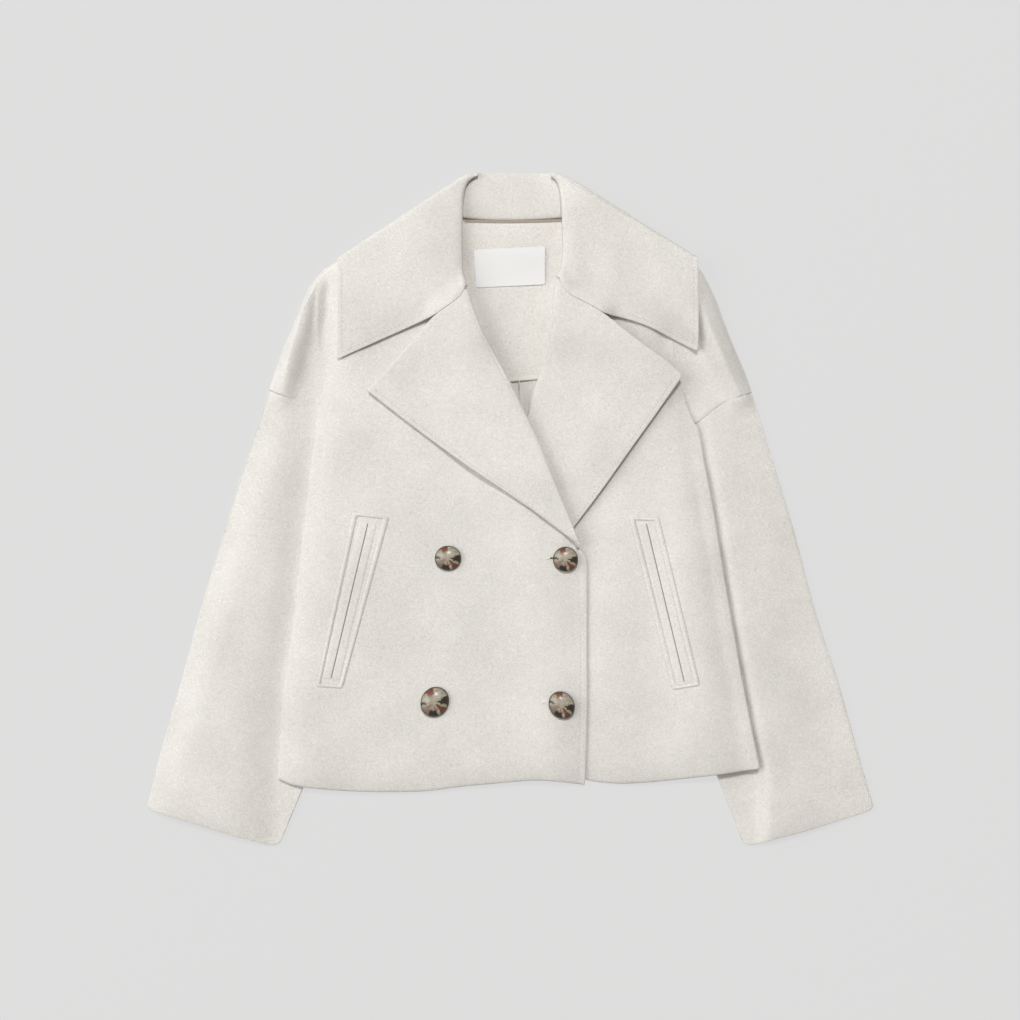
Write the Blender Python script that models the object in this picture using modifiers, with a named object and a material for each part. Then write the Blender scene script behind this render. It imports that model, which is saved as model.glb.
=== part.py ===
"""Double-breasted winter coat, laid flat on its back with its front side up.

Every panel is a wall of cloth with the outline it shows from above. The panels are laid one after
another on the table, each on the layers already there, and a panel that folds is one wall that
turns round its fold. Sides are the wearer's, so the wearer's right is at -X. +Y runs to the collar
and +Z up from the table. Sizes in the tables are millimetres; the objects are in metres.
"""

import math

import bmesh
import bpy
import numpy as np

MM = 0.001

# ---- cloth and clearances (mm) ----
CLOTH = 1.6                # felted coat wool
COLLAR_CLOTH = 2.8         # upper and under collar sewn together
FACING_CLOTH = 1.2         # back neck facing, pressed thin
TAPE = 0.6                 # seam tapes
LABEL_CLOTH = 0.5
SEAM_GAP = 0.3             # between pieces
FOLD_AIR = 0.8             # inside a fold
FOLD_BULGE = (CLOTH + FOLD_AIR) / 2
FOLD_OUTSIDE = FOLD_BULGE + CLOTH / 2
FOLD_STEPS = 4

# ---- the table's raster, on which the height of the layers is kept (mm) ----
CELL = 2.0
TABLE_HALF_WIDTH = 410.0
TABLE_HALF_LENGTH = 380.0
SETTLING_PASSES = 8
STIFF_PASSES = 4           # how far a sheet spans its hollows instead of following them

# ---- how wide a hollow each piece spans (mm) ----
BACK_REACH = 30.0
FRONT_REACH = 44.0
LAPEL_REACH = 14.0
LEAF_REACH = 34.0

# ---- sleeves (mm) ----
SLEEVE_CROWN = 2.6         # how much fuller the tube is towards its outer side
CROWN_RISE = 90.0          # length from the armhole over which it fills
SLEEVE_ROWS = 17
SLEEVE_COLUMNS = 8
UNDERSIDE_COLUMNS = (0, 1, 2, 3, 5, 8)

# ---- fronts (mm) ----
SIDE_RETURN = 20.0         # cloth that turns under at the side fold, as far as the side seam
FOLD_TUCK = 9.0            # how far the shoulder part reaches under the side fold
CHEST_COLUMNS = 12
ROWS_ABOVE_FOLD = 5
ROWS_OVER_ARMHOLE = 2
ROWS_BELOW_ARMHOLE = 16
BACK_SHOULDER_ROWS = 5
ROLL_OUTSIDE = FOLD_OUTSIDE + SEAM_GAP + CLOTH
LAPEL_ROWS = 12
LAPEL_COLUMNS = 7
UNDER_LAPEL_INSET = 2.0
LIP_ROWS = 10              # how far down the roll the facing laps round it

# ---- collar (mm) ----
COLLAR_BULGE = 4.5         # the fall, where it turns over the shoulders
STAND_BULGE = (COLLAR_CLOTH + FOLD_AIR) / 2
ROLL_BULGE = 2.5
STAND_RETURN = 26.0        # stand hidden below each leaf
LEAF_ROWS = 10
LEAF_COLUMNS = 9
STAND_COLUMNS = 6
FALL_ROWS = 4
LEAF_LIFT_GORGE = 1.4      # brings the leaf level with the lapel facing
LEAF_LIFT_POINT = 0.4

# ---- buttons and pockets (mm) ----
SHANK_RADIUS = 3.2
SHANK_HEIGHT = 2.6
BUTTON_STEPS = 20
WELT = 0.9                 # height of a welt above the front
WELT_WIDTH = 8.8
WELT_PARTING = 0.5         # half of the slit between the two welts

# ---- outlines, each a table of points (x, y) in mm ----
CENTRE_BACK = [(4, 303), (7, 200), (10, 125), (14, 95), (12, -80), (9, -285)]

COLLAR = {
    "top_right": (-44, 357),
    "top_left": (52, 357),
    "style_edge": [(-181, 262), (-120, 236), (-55, 220), (4, 215), (65, 220), (130, 236), (196, 262)],
    "corner_gap": 5.0,
}

RIGHT = {
    "side": -1,
    "neck": [(4, 303), (-20, 302.5), (-47, 304), (-62, 305)],
    "shoulder_fold": [(-62, 305), (-105, 292), (-150, 276), (-190, 261)],
    "shoulder_edge": [(-190, 261), (-207, 244), (-216, 231), (-225, 208), (-236, 182), (-246, 157),
                      (-257, 125)],
    "seam_under_collar": [(-62, 296), (-105, 282), (-150, 267), (-186, 254), (-204, 240)],
    "shoulder_seam": [(-204, 240), (-211, 226), (-218, 212), (-223, 196), (-232, 167), (-243, 122)],
    "shoulder_fall": [(-204, 240), (-205, 220), (-204, 178), (-198, 136)],
    "side_over_armhole": [(-198, 136), (-200, 124), (-202, 111)],
    "side_fold": [(-202, 111), (-206, 83), (-210, 51), (-216, 3), (-228, -104), (-242, -211),
                  (-246, -288)],
    "neckline": [(-62, 296), (-54, 258), (-47, 222)],
    "roll": [(-43, 222), (-32, 189), (-8, 144), (15, 101), (42, 40), (65, -14), (76, -44)],
    "front_edge": [(78, -52), (81, -80), (81, -150), (81, -220), (79, -294)],
    "hem": [(-246, -288), (-220, -296), (-160, -301), (-96, -301), (-54, -296), (-11, -292), (31, -289),
            (79, -294)],
    "armhole": [(-257, 124), (-241, 121), (-221, 112), (-202, 110), (-140, 92), (-70, 61)],
    "back_fall": [(-186, 258), (-186, 200), (-184, 150), (-182, 112)],
    "sleeve_outer": [(-257, 124), (-267, 93), (-284, 42), (-307, -34), (-330, -110), (-351, -187),
                     (-373, -263), (-385, -314)],
    "sleeve_inner": [(-70, 61), (-113, -41), (-156, -143), (-198, -245), (-241, -347)],
    "cuff": [(-385, -314), (-382, -320), (-350, -330), (-318, -340), (-284, -350), (-250, -358),
             (-241, -347)],
    "gorge": [(-43, 222), (-62, 214), (-82, 201)],
    "lapel_top": [(-82, 201), (-116, 163), (-151, 124)],
    "lapel_edge": [(-151, 124), (-97, 82), (-43, 43), (15, 6), (71, -33)],
    "lapel_end": [(76, -44), (71, -33)],
    "leaf_tip": (-183, 266),
    "leaf_end": [(-183, 266), (-183, 210), (-183, 157)],
    "leaf_front": [(-183, 157), (-132, 180), (-82, 202)],
    "leaf_gorge": [(-82, 202), (-62, 215), (-48, 226)],
    "leaf_roll": [(-48, 226), (-48, 250), (-48, 290), (-48, 325), (-49, 346)],
    "pocket": [(-150, -14), (-190, -182)],
}

LEFT = {
    "side": 1,
    "neck": [(4, 303), (28, 303.5), (55, 305), (70, 305)],
    "shoulder_fold": [(70, 305), (110, 293), (155, 277), (196, 261)],
    "shoulder_edge": [(196, 261), (204, 250), (211, 237), (219, 220), (228, 195), (238, 170), (249, 144),
                      (257, 122)],
    "seam_under_collar": [(66, 297), (110, 282), (150, 265), (180, 250)],
    "shoulder_seam": [(180, 250), (194, 236), (201, 220), (211, 194), (227, 157), (245, 121)],
    "shoulder_fall": [(180, 250), (174, 225), (172, 200), (173, 182)],
    "side_over_armhole": [(173, 182), (176, 160), (183, 130), (190, 104), (197, 89)],
    "side_fold": [(197, 89), (201, 76), (207, 40), (214, 3), (227, -77), (241, -158), (254, -227),
                  (264, -276)],
    "neckline": [(66, 297), (59, 266), (54, 236)],
    "roll": [(50, 235), (47, 220), (37, 178), (26, 136), (17, 104), (10, 82)],
    "front_edge": [(-10, 30), (-40, -30), (-64, -80), (-79, -150), (-85, -220), (-86, -288)],
    "hem": [(264, -276), (201, -285), (137, -292), (100, -292), (60, -286), (0, -284), (-86, -288)],
    "armhole": [(257, 121), (241, 118.5), (219, 107), (197, 88.5), (150, 74), (84, 56)],
    "back_fall": [(192, 258), (186, 200), (182, 140), (180, 89)],
    "sleeve_outer": [(257, 121), (273, 68), (289, 17), (304, -34), (324, -110), (349, -187), (370, -263),
                     (385, -314)],
    "sleeve_inner": [(84, 56), (124, -46), (165, -147), (205, -249), (245, -350)],
    "cuff": [(385, -314), (382, -321), (350, -331), (318, -341), (284, -350), (252, -358), (245, -350)],
    "gorge": [(50, 235), (76, 219), (101, 201)],
    "lapel_top": [(101, 201), (143, 167), (182, 140)],
    "lapel_edge": [(182, 140), (154, 100), (126, 61), (97, 20), (67, -20), (59, -31)],
    "lapel_end": [(10, 82), (34, 26), (59, -31)],
    "leaf_tip": (198, 266),
    "leaf_end": [(198, 266), (198.5, 215), (199, 166)],
    "leaf_front": [(199, 166), (174, 179), (148, 190), (101, 203)],
    "leaf_gorge": [(101, 203), (76, 221), (54, 236)],
    "leaf_roll": [(54, 236), (55, 255), (56, 290), (55, 325), (55, 346)],
    "pocket": [(143, -14), (184, -186)],
}

BUTTONS = [                # name, x, y, diameter
    ("button_upper_right", -66, -53, 27.0),
    ("button_upper_left", 58, -54, 26.5),
    ("button_lower_right", -80, -205, 31.0),
    ("button_lower_left", 54, -208, 29.0),
]

BUTTON_PROFILE = [         # distance from the axis and height, as parts of the radius
    (0.0, 0.56),
    (0.30, 0.535),
    (0.56, 0.46),
    (0.78, 0.33),
    (0.92, 0.18),
    (1.0, 0.02),
    (0.985, -0.06),
    (0.90, -0.10),
    (0.60, -0.115),
]

COLOURS = {                # name, linear red, green and blue, roughness
    "wool": ((0.79, 0.76, 0.71), 0.95),
    "wool_inside": ((0.70, 0.66, 0.62), 0.95),
    "tape": ((0.72, 0.70, 0.65), 0.8),
    "label": ((0.86, 0.86, 0.86), 0.7),
    "horn": ((0.16, 0.10, 0.06), 0.15),
}


# ---- plane curves and patches ----
def smooth_curve(points, samples=12):
    """Points close together on a smooth curve through the given ones."""
    knots = np.array(points, float)
    if len(knots) < 3:
        return knots
    padded = np.vstack([2 * knots[0] - knots[1], knots, 2 * knots[-1] - knots[-2]])
    part = np.linspace(0, 1, samples, endpoint=False)[:, None]
    spans = []
    for before, start, end, after in zip(padded, padded[1:], padded[2:], padded[3:]):
        spans.append(start + 0.5 * part * (end - before
                     + part * (2 * before - 5 * start + 4 * end - after
                               + part * (3 * (start - end) + after - before))))
    return np.vstack(spans + [knots[-1:]])


def lengths_along(points):
    """Distance from the first point to each point of a line."""
    return np.concatenate([[0.0], np.cumsum(np.linalg.norm(np.diff(points, axis=0), axis=1))])


def along(points, fractions):
    """Points at the given fractions of a smooth curve's length."""
    dense = smooth_curve(points)
    length = lengths_along(dense)
    wanted = np.asarray(fractions) * length[-1]
    return np.column_stack([np.interp(wanted, length, axis) for axis in dense.T])


def evenly(points, count):
    """count + 1 points at even spacing along a smooth curve."""
    return along(points, np.linspace(0, 1, count + 1))


def joined(*lines):
    """Lines that meet end to end, as one."""
    return np.vstack([lines[0]] + [line[1:] for line in lines[1:]])


def plan_normals(points):
    """Unit normals in plan, to the left of the way the line runs."""
    tangent = np.gradient(np.asarray(points, float)[:, :2], axis=0)
    normal = np.column_stack([-tangent[:, 1], tangent[:, 0]])
    return normal / np.linalg.norm(normal, axis=1)[:, None]


def moved_left(points, distance):
    """A line moved sideways in plan, to the left of the way it runs."""
    dense = smooth_curve(points, 4)
    return dense + plan_normals(dense) * distance


def patch(first, last, start, end):
    """A four-sided plan patch: rows run from first to last, columns from start to end."""
    across = lengths_along(first) / lengths_along(first)[-1] + lengths_along(last) / lengths_along(last)[-1]
    down = lengths_along(start) / lengths_along(start)[-1] + lengths_along(end) / lengths_along(end)[-1]
    u = across[None, :, None] / 2
    v = down[:, None, None] / 2
    ruled = (1 - v) * first[None] + v * last[None] + (1 - u) * start[:, None] + u * end[:, None]
    corners = ((1 - u) * (1 - v) * first[0] + u * (1 - v) * first[-1]
               + (1 - u) * v * last[0] + u * v * last[-1])
    return ruled - corners


def ruled(start, end, columns):
    """A patch of straight rows between two lines with the same number of points."""
    part = np.linspace(0, 1, columns + 1)[None, :, None]
    return start[:, None] * (1 - part) + end[:, None] * part


def rolled(low, high, outward, bulge, steps=FOLD_STEPS, turn=180.0):
    """Rows that carry a sheet's edge round from low to high in a half ellipse."""
    angle = np.radians(np.linspace(-90, turn - 90, steps + 1))[None, :, None]
    lift = (1 + np.sin(angle)) / 2
    rows = low[:, None] * (1 - lift) + high[:, None] * lift
    rows[..., :2] += np.cos(angle) * bulge * outward[:, None]
    return rows


# ---- laying cloth on cloth ----
def widened(height, cells):
    """The highest value within a square around each cell."""
    for axis in (0, 1):
        pad = [(cells, cells) if k == axis else (0, 0) for k in (0, 1)]
        wide = np.pad(height, pad, mode="edge")
        height = np.lib.stride_tricks.sliding_window_view(wide, 2 * cells + 1, axis=axis).max(-1)
    return height


def blurred(height, cells):
    """The mean value over a square around each cell."""
    for axis in (0, 1):
        pad = [(cells, cells) if k == axis else (0, 0) for k in (0, 1)]
        wide = np.pad(height, pad, mode="edge")
        height = np.lib.stride_tricks.sliding_window_view(wide, 2 * cells + 1, axis=axis).mean(-1)
    return height


def refined(grid, spacing=1.3):
    """A grid cut finer in straight lines, and how many parts each side was cut into."""
    widest = max(np.linalg.norm(np.diff(grid[..., :2], axis=0), axis=-1).max(),
                 np.linalg.norm(np.diff(grid[..., :2], axis=1), axis=-1).max())
    parts = max(1, math.ceil(widest / spacing))
    for axis in (0, 1):
        count = grid.shape[axis]
        place = np.linspace(0, count - 1, (count - 1) * parts + 1)
        low = np.minimum(place.astype(int), count - 2)
        share = (place - low).reshape((-1, 1, 1) if axis == 0 else (1, -1, 1))
        grid = np.take(grid, low, axis) * (1 - share) + np.take(grid, low + 1, axis) * share
    return grid, parts


class Table:
    """The table with the layers laid so far, as a raster of heights."""

    def __init__(self, height=None):
        rows = int(2 * TABLE_HALF_LENGTH / CELL) + 1
        columns = int(2 * TABLE_HALF_WIDTH / CELL) + 1
        self.height = np.zeros((rows, columns)) if height is None else height.copy()

    def place(self, points):
        """Raster rows and columns of points, as real numbers."""
        return (points[..., 1] + TABLE_HALF_LENGTH) / CELL, (points[..., 0] + TABLE_HALF_WIDTH) / CELL

    def read(self, height, points):
        """Heights at points, between the cells."""
        row, column = self.place(points)
        low_row = row.astype(int)
        low_column = column.astype(int)
        r = row - low_row
        c = column - low_column
        return ((1 - r) * (1 - c) * height[low_row, low_column]
                + r * (1 - c) * height[low_row + 1, low_column]
                + (1 - r) * c * height[low_row, low_column + 1]
                + r * c * height[low_row + 1, low_column + 1])

    def lay(self, plan, thickness, reach, lift=0.0, stiffness=STIFF_PASSES):
        """Lay a sheet: it spans hollows narrower than reach and touches nothing below it."""
        cells = max(1, round(reach / CELL))
        half = max(1, cells // 2)
        cover = self.read(blurred(blurred(widened(self.height, cells), half), cells - half), plan)
        z = cover + thickness / 2 + (SEAM_GAP + lift) * np.clip(cover, 0, 1)
        return self.settle(np.dstack([plan[..., 0], plan[..., 1], z]), thickness, 0, stiffness)

    def settle(self, grid, thickness, fixed_columns=0, stiffness=STIFF_PASSES):
        """Raise a sheet where it touches what is below; its first columns may be held."""
        free = np.ones(grid.shape[:2])
        free[:, :fixed_columns] = 0
        for _ in range(stiffness):
            wide = np.pad(grid[..., 2], 1, mode="edge")
            around = (wide[:-2, 1:-1] + wide[2:, 1:-1] + wide[1:-1, :-2] + wide[1:-1, 2:]) / 4
            grid[..., 2] += np.maximum(around - grid[..., 2], 0) * free
        below = widened(self.height + SEAM_GAP * (self.height > 0), 1) + thickness / 2
        for _ in range(SETTLING_PASSES):
            fine, parts = refined(grid)
            row, column = self.place(fine)
            short = below[np.rint(row).astype(int), np.rint(column).astype(int)] - fine[..., 2]
            if short.max() <= 0:
                break
            starts = [np.arange(count - 1) * parts for count in grid.shape[:2]]
            faces = np.maximum.reduceat(np.maximum.reduceat(short, starts[0], axis=0), starts[1], axis=1)
            faces = np.pad(np.maximum(faces, 0), 1)
            grid[..., 2] += free * np.maximum.reduce([faces[:-1, :-1], faces[1:, :-1], faces[:-1, 1:],
                                                      faces[1:, 1:]])
        return grid

    def press(self, grid, thickness):
        """Add a laid sheet to the layers that later ones lie on."""
        fine, _ = refined(grid)
        row, column = self.place(fine)
        cells = (np.rint(row).astype(int), np.rint(column).astype(int))
        np.maximum.at(self.height, cells, fine[..., 2] + thickness / 2)


# ---- making objects ----
def make_collection(name):
    collection = bpy.data.collections.new(name)
    bpy.context.scene.collection.children.link(collection)
    return collection


def make_material(name):
    colour, roughness = COLOURS[name]
    material = bpy.data.materials.get(name)
    if material is None:
        material = bpy.data.materials.new(name)
        material.use_nodes = True
        shader = material.node_tree.nodes["Principled BSDF"]
        shader.inputs["Base Color"].default_value = (*colour, 1.0)
        shader.inputs["Roughness"].default_value = roughness
        material.diffuse_color = (*colour, 1.0)
    return material


def add_object(name, mesh, material, coat):
    mesh.materials.append(make_material(material))
    mesh.shade_smooth()
    mesh.set_sharp_from_angle(angle=math.radians(40))
    piece = bpy.data.objects.new(name, mesh)
    coat["collection"].objects.link(piece)
    piece.parent = coat["root"]
    return piece


def add_wall(name, grids, thickness, material, coat):
    """A wall of cloth whose middle surface is made of grids that meet along shared points."""
    bm = bmesh.new()
    for grid in grids:
        rows, columns = grid.shape[:2]
        made = bmesh.ops.create_grid(bm, x_segments=columns - 1, y_segments=rows - 1, size=1.0)
        for vertex, point in zip(made["verts"], grid.reshape(-1, 3)):
            vertex.co = point * MM
    bmesh.ops.remove_doubles(bm, verts=bm.verts, dist=0.00005)
    bmesh.ops.recalc_face_normals(bm, faces=bm.faces)
    mesh = bpy.data.meshes.new(name)
    bm.to_mesh(mesh)
    bm.free()
    piece = add_object(name, mesh, material, coat)
    wall = piece.modifiers.new("cloth", "SOLIDIFY")
    wall.thickness = thickness * MM
    wall.offset = 0.0
    return piece


# ---- the pieces, in the order they are laid ----
def collar_behind(table):
    """The fall behind the neck, on the table, and the stand that stands before it."""
    inset = COLLAR_BULGE + COLLAR_CLOTH / 2
    top = COLLAR["top_right"][1] - STAND_BULGE - COLLAR_CLOTH / 2
    right_end = np.array([COLLAR["top_right"][0] - 2, top])
    left_end = np.array([COLLAR["top_left"][0] + 2, top])
    style = COLLAR["style_edge"]
    gap = COLLAR["corner_gap"]

    def diagonal(tip, end):
        line = moved_left([tip, end], -inset)
        line[-1] = end
        run = (line[-1] - line[0]) / np.linalg.norm(line[-1] - line[0])
        short = line[-1] - run * gap
        return joined(ruled(line[:1], short[None], LEAF_COLUMNS)[0], np.vstack([short, end]))

    right = diagonal(RIGHT["leaf_tip"], right_end)
    left_tip = (-LEFT["leaf_tip"][0], LEFT["leaf_tip"][1])
    left = diagonal(left_tip, (-left_end[0], left_end[1])) * (-1, 1)
    middle_start = right_end + (gap, 0)
    middle_end = left_end - (gap, 0)
    middle = ruled(middle_start[None], middle_end[None], STAND_COLUMNS)[0]
    upper = joined(right, np.vstack([right_end, middle[0]]), middle,
                   np.vstack([middle[-1], left_end]), left[::-1])
    lower = along(style, lengths_along(upper) / lengths_along(upper)[-1])
    lower[0] = upper[0]
    lower[-1] = upper[-1]
    plan = ruled(upper, lower, FALL_ROWS)
    fall = np.dstack([plan[..., 0], plan[..., 1], np.full(plan.shape[:2], COLLAR_CLOTH / 2)])
    table.press(fall, COLLAR_CLOTH)

    first = LEAF_COLUMNS + 2
    fold_line = fall[first:first + STAND_COLUMNS + 1, 0]
    lower_edge = evenly([(-48, 306.5), (2, 304.8), (53, 307.5)], STAND_COLUMNS)
    stand_plan = ruled(fold_line[:, :2], lower_edge, 3)
    stand = table.lay(stand_plan, COLLAR_CLOTH, 10.0, FOLD_AIR - SEAM_GAP)
    table.press(stand, COLLAR_CLOTH)
    up = np.tile([0.0, 1.0], (STAND_COLUMNS + 1, 1))
    turn = rolled(fold_line, stand[:, 0], up, STAND_BULGE)
    right_line = fall[:LEAF_COLUMNS + 1, 0]
    left_line = fall[::-1][:LEAF_COLUMNS + 1, 0]
    return [fall, stand, turn], {"right": right_line, "left": left_line}


def sleeve(table, side):
    """A flattened tube from the armhole to the cuff."""
    mirror = side["side"]
    rows = np.linspace(0, 1, SLEEVE_ROWS + 1)
    outer = along(moved_left(side["sleeve_outer"], -mirror * FOLD_OUTSIDE), rows)
    inner = along(moved_left(side["sleeve_inner"], mirror * FOLD_OUTSIDE), rows)
    head = joined(np.array(side["armhole"][:4], float), evenly(side["armhole"][3:], SLEEVE_COLUMNS - 3))
    cuff = evenly(side["cuff"], SLEEVE_COLUMNS)
    head[0], head[-1] = outer[0], inner[0]
    cuff[0], cuff[-1] = outer[-1], inner[-1]
    plan = patch(head, cuff, outer, inner)
    across = np.linspace(0, 1, SLEEVE_COLUMNS + 1)[None]
    down = lengths_along(outer)[:, None]
    fullness = np.sin(np.pi * across) ** 0.7 * (1 - 0.6 * across)
    crown = SLEEVE_CROWN * fullness * np.clip(down / CROWN_RISE, 0, 1)
    bottom_z = CLOTH / 2
    top_z = bottom_z + CLOTH + FOLD_AIR + crown
    top = np.dstack([plan[..., 0], plan[..., 1], top_z])
    under_plan = plan[:, UNDERSIDE_COLUMNS]
    under = np.dstack([under_plan[..., 0], under_plan[..., 1], np.full(under_plan.shape[:2], bottom_z)])
    outer_turn = rolled(under[:, 0], top[:, 0], plan_normals(outer) * mirror, FOLD_BULGE)
    inner_turn = rolled(under[:, -1], top[:, -1], plan_normals(inner) * -mirror, FOLD_BULGE)
    table.press(top, CLOTH)
    return [under, outer_turn, top, inner_turn]


def armhole_edge(side, start, end):
    """The edge that panels share with a sleeve's head, a seam's gap above it."""
    head = np.array(side["armhole"][1:4], float)[::-1] + (0, SEAM_GAP)
    mirror = side["side"]
    between = [point for point in head if start[0] * mirror < point[0] * mirror < end[0] * mirror - 2]
    return np.vstack([start] + between + [end])


def back_shoulder(bare, side, main):
    """The outer part of a back half, on the bare table, from the shoulder fold to the armhole."""
    mirror = side["side"]
    fall = main[:BACK_SHOULDER_ROWS + 1, -1]
    edge = evenly(moved_left(side["shoulder_edge"], mirror * -FOLD_OUTSIDE), BACK_SHOULDER_ROWS)
    edge[0] = fall[0, :2]
    armhole = armhole_edge(side, fall[-1, :2], edge[-1])
    top = np.tile(fall[0, :2], (len(armhole), 1)) + np.linspace(0, 0.004, len(armhole))[:, None]
    grid = bare.lay(patch(top, armhole, fall[:, :2], edge), CLOTH, 4.0)
    grid[:, 0] = fall
    grid[0] = fall[0]
    return bare.settle(grid, CLOTH, 1)


def back_lines(side):
    """The outer edge of a back half: down its shoulder part, then along the side seam."""
    mirror = side["side"]
    counts, outer = chest_lines(side)
    seam = outer[counts[0] + counts[1]:] - (mirror * (SIDE_RETURN + SEAM_GAP), 0)
    fall = np.array(side["back_fall"], float)
    fall[-1] = seam[0]
    return evenly(fall, BACK_SHOULDER_ROWS), seam


def back_half(table, side):
    """Half of the back, over the sleeve and the collar's fall."""
    mirror = side["side"]
    fall, seam = back_lines(side)
    outer = joined(fall, seam)
    centre = along(CENTRE_BACK, lengths_along(outer) / lengths_along(outer)[-1])
    centre = centre + (mirror * SEAM_GAP / 2, 0)
    fold = moved_left(side["shoulder_fold"], mirror * -FOLD_OUTSIDE)
    neck = evenly(side["neck"], 2)
    neck[0] = centre[0]
    neck[-1] = fold[0]
    slope = evenly(fold, 4)
    slope[-1] = outer[0]
    top = joined(neck, slope)
    share = lengths_along(top) / lengths_along(top)[-1]
    hem = centre[-1] * (1 - share[:, None]) + outer[-1] * share[:, None]
    return table.lay(patch(top, hem, centre, outer), CLOTH, BACK_REACH, stiffness=0)


def shoulder_wrap(table, side, wrap_edge):
    """The strip of the back that shows on the front side of the shoulder."""
    mirror = side["side"]
    fractions = lengths_along(wrap_edge[:, :2]) / lengths_along(wrap_edge[:, :2])[-1]
    seam = joined(smooth_curve(side["seam_under_collar"]), smooth_curve(side["shoulder_seam"]))
    seam = along(moved_left(seam, mirror * SEAM_GAP), fractions)
    seam[-1] += (0, SEAM_GAP)
    plan = ruled(wrap_edge[:, :2], seam, 1)
    strip = table.lay(plan, CLOTH, 6.0, FOLD_AIR - SEAM_GAP)
    table.press(strip, CLOTH)
    outward = plan_normals(wrap_edge) * mirror
    return [strip, rolled(wrap_edge, strip[:, 0], outward, FOLD_BULGE)]


def chest_lines(side):
    """The lines that bound a front in plan, read at the same rows."""
    mirror = side["side"]
    counts = (ROWS_ABOVE_FOLD, ROWS_OVER_ARMHOLE, ROWS_BELOW_ARMHOLE)
    fold = [np.array(side[key], float) for key in ("shoulder_fall", "side_over_armhole", "side_fold")]
    for line in fold[1:]:
        line[1:, 0] -= mirror * FOLD_OUTSIDE
    fold[2][0] = fold[1][-1]
    outer = joined(*[evenly(line, count) for line, count in zip(fold, counts)])
    return counts, outer


def side_return(table, side):
    """Cloth that turns under at the side fold, level with the back."""
    mirror = side["side"]
    counts, outer = chest_lines(side)
    edge = outer[counts[0] + counts[1]:].copy()
    edge[0, 1] -= SEAM_GAP
    return table.lay(ruled(edge, edge - (mirror * SIDE_RETURN, 0), 2), CLOTH, BACK_REACH)


def front_shoulder(table, side, outer, first, last):
    """The part of a front beyond its side fold, from the shoulder seam to the armhole."""
    mirror = side["side"]
    inner = outer[:last + 1].copy()
    tucked = np.zeros(last + 1)
    tucked[first + 1:] = FOLD_TUCK
    inner[:, 0] -= mirror * tucked
    seam = along(side["shoulder_seam"], lengths_along(inner) / lengths_along(inner)[-1])
    seam[0] = inner[0]
    bottom = armhole_edge(side, inner[-1], seam[-1])
    count = len(bottom) - 1
    top = np.tile(inner[0], (count + 1, 1)) + np.linspace(0, 0.004, count + 1)[:, None]
    plan = patch(top, bottom, inner, seam)
    grid = table.lay(plan, CLOTH, 6.0, FOLD_AIR - SEAM_GAP)
    table.press(grid[:, 1:], CLOTH)
    if last > first:
        table.press(grid[first + 1:], CLOTH)
    return grid


def front(table, side, returned):
    """A front: chest and skirt, its side fold, and its turned lapel."""
    mirror = side["side"]
    counts, outer = chest_lines(side)
    first = counts[0]
    armhole = first + counts[1]
    shoulder = front_shoulder(table, side, outer, first, armhole)
    roll = moved_left(side["roll"], mirror * ROLL_OUTSIDE)
    neckline = np.array(side["neckline"], float)
    neckline[-1] = roll[0]
    rows_neck = 3
    rows_roll = LAPEL_ROWS
    rows_edge = sum(counts) - rows_neck - rows_roll
    edge_line = np.vstack([roll[-1], side["front_edge"]])
    centre = joined(evenly(neckline, rows_neck), evenly(roll, rows_roll), evenly(edge_line, rows_edge))
    top = evenly(side["seam_under_collar"], CHEST_COLUMNS)
    if np.linalg.norm(top[0] - outer[0]) > 1:
        top = top[::-1]
    hem = evenly(side["hem"], CHEST_COLUMNS)
    top[0], top[-1] = outer[0], centre[0]
    hem[0], hem[-1] = outer[-1], centre[-1]
    plan = patch(top, hem, outer, centre)
    chest = table.lay(plan, CLOTH, FRONT_REACH)
    table.press(chest, CLOTH)
    shoulder[:first + 1, 0] = chest[:first + 1, 0]
    shoulder[0] = chest[0, 0]
    fold = chest[armhole:, 0]
    outward = plan_normals(fold) * mirror
    turn = rolled(returned[:, 0], fold, outward, FOLD_BULGE)
    roll_line = chest[rows_neck:rows_neck + rows_roll + 1, -1]
    return [chest, shoulder, returned, turn], roll_line


def lapel_plan(side, roll_line, inset):
    """The lapel in plan: rows from the gorge to the break, columns from the roll outwards."""
    mirror = side["side"]
    steps = LAPEL_COLUMNS // 2
    gorge = evenly(side["gorge"], steps)
    crown = evenly(side["lapel_top"], LAPEL_COLUMNS - steps)
    top = joined(gorge, crown)
    edge = evenly(side["lapel_edge"], LAPEL_ROWS)
    end = evenly(side["lapel_end"], LAPEL_COLUMNS)
    if inset:
        top = top + plan_normals(top) * mirror * -inset
        edge = edge + plan_normals(edge) * mirror * -inset
    top[0], end[0] = roll_line[0, :2], roll_line[-1, :2]
    corner = np.array(side["lapel_edge"][0], float)
    centre = np.array(side["gorge"][0], float) * 0.5 + np.array(side["lapel_edge"][-1], float) * 0.5
    inward = (centre - corner) / np.linalg.norm(centre - corner)
    top[-1] = edge[0] = corner + inward * inset * 1.6
    edge[-1] = end[-1] = end[-1] * 1.0
    return patch(top, end, roll_line[:, :2], edge)


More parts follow.
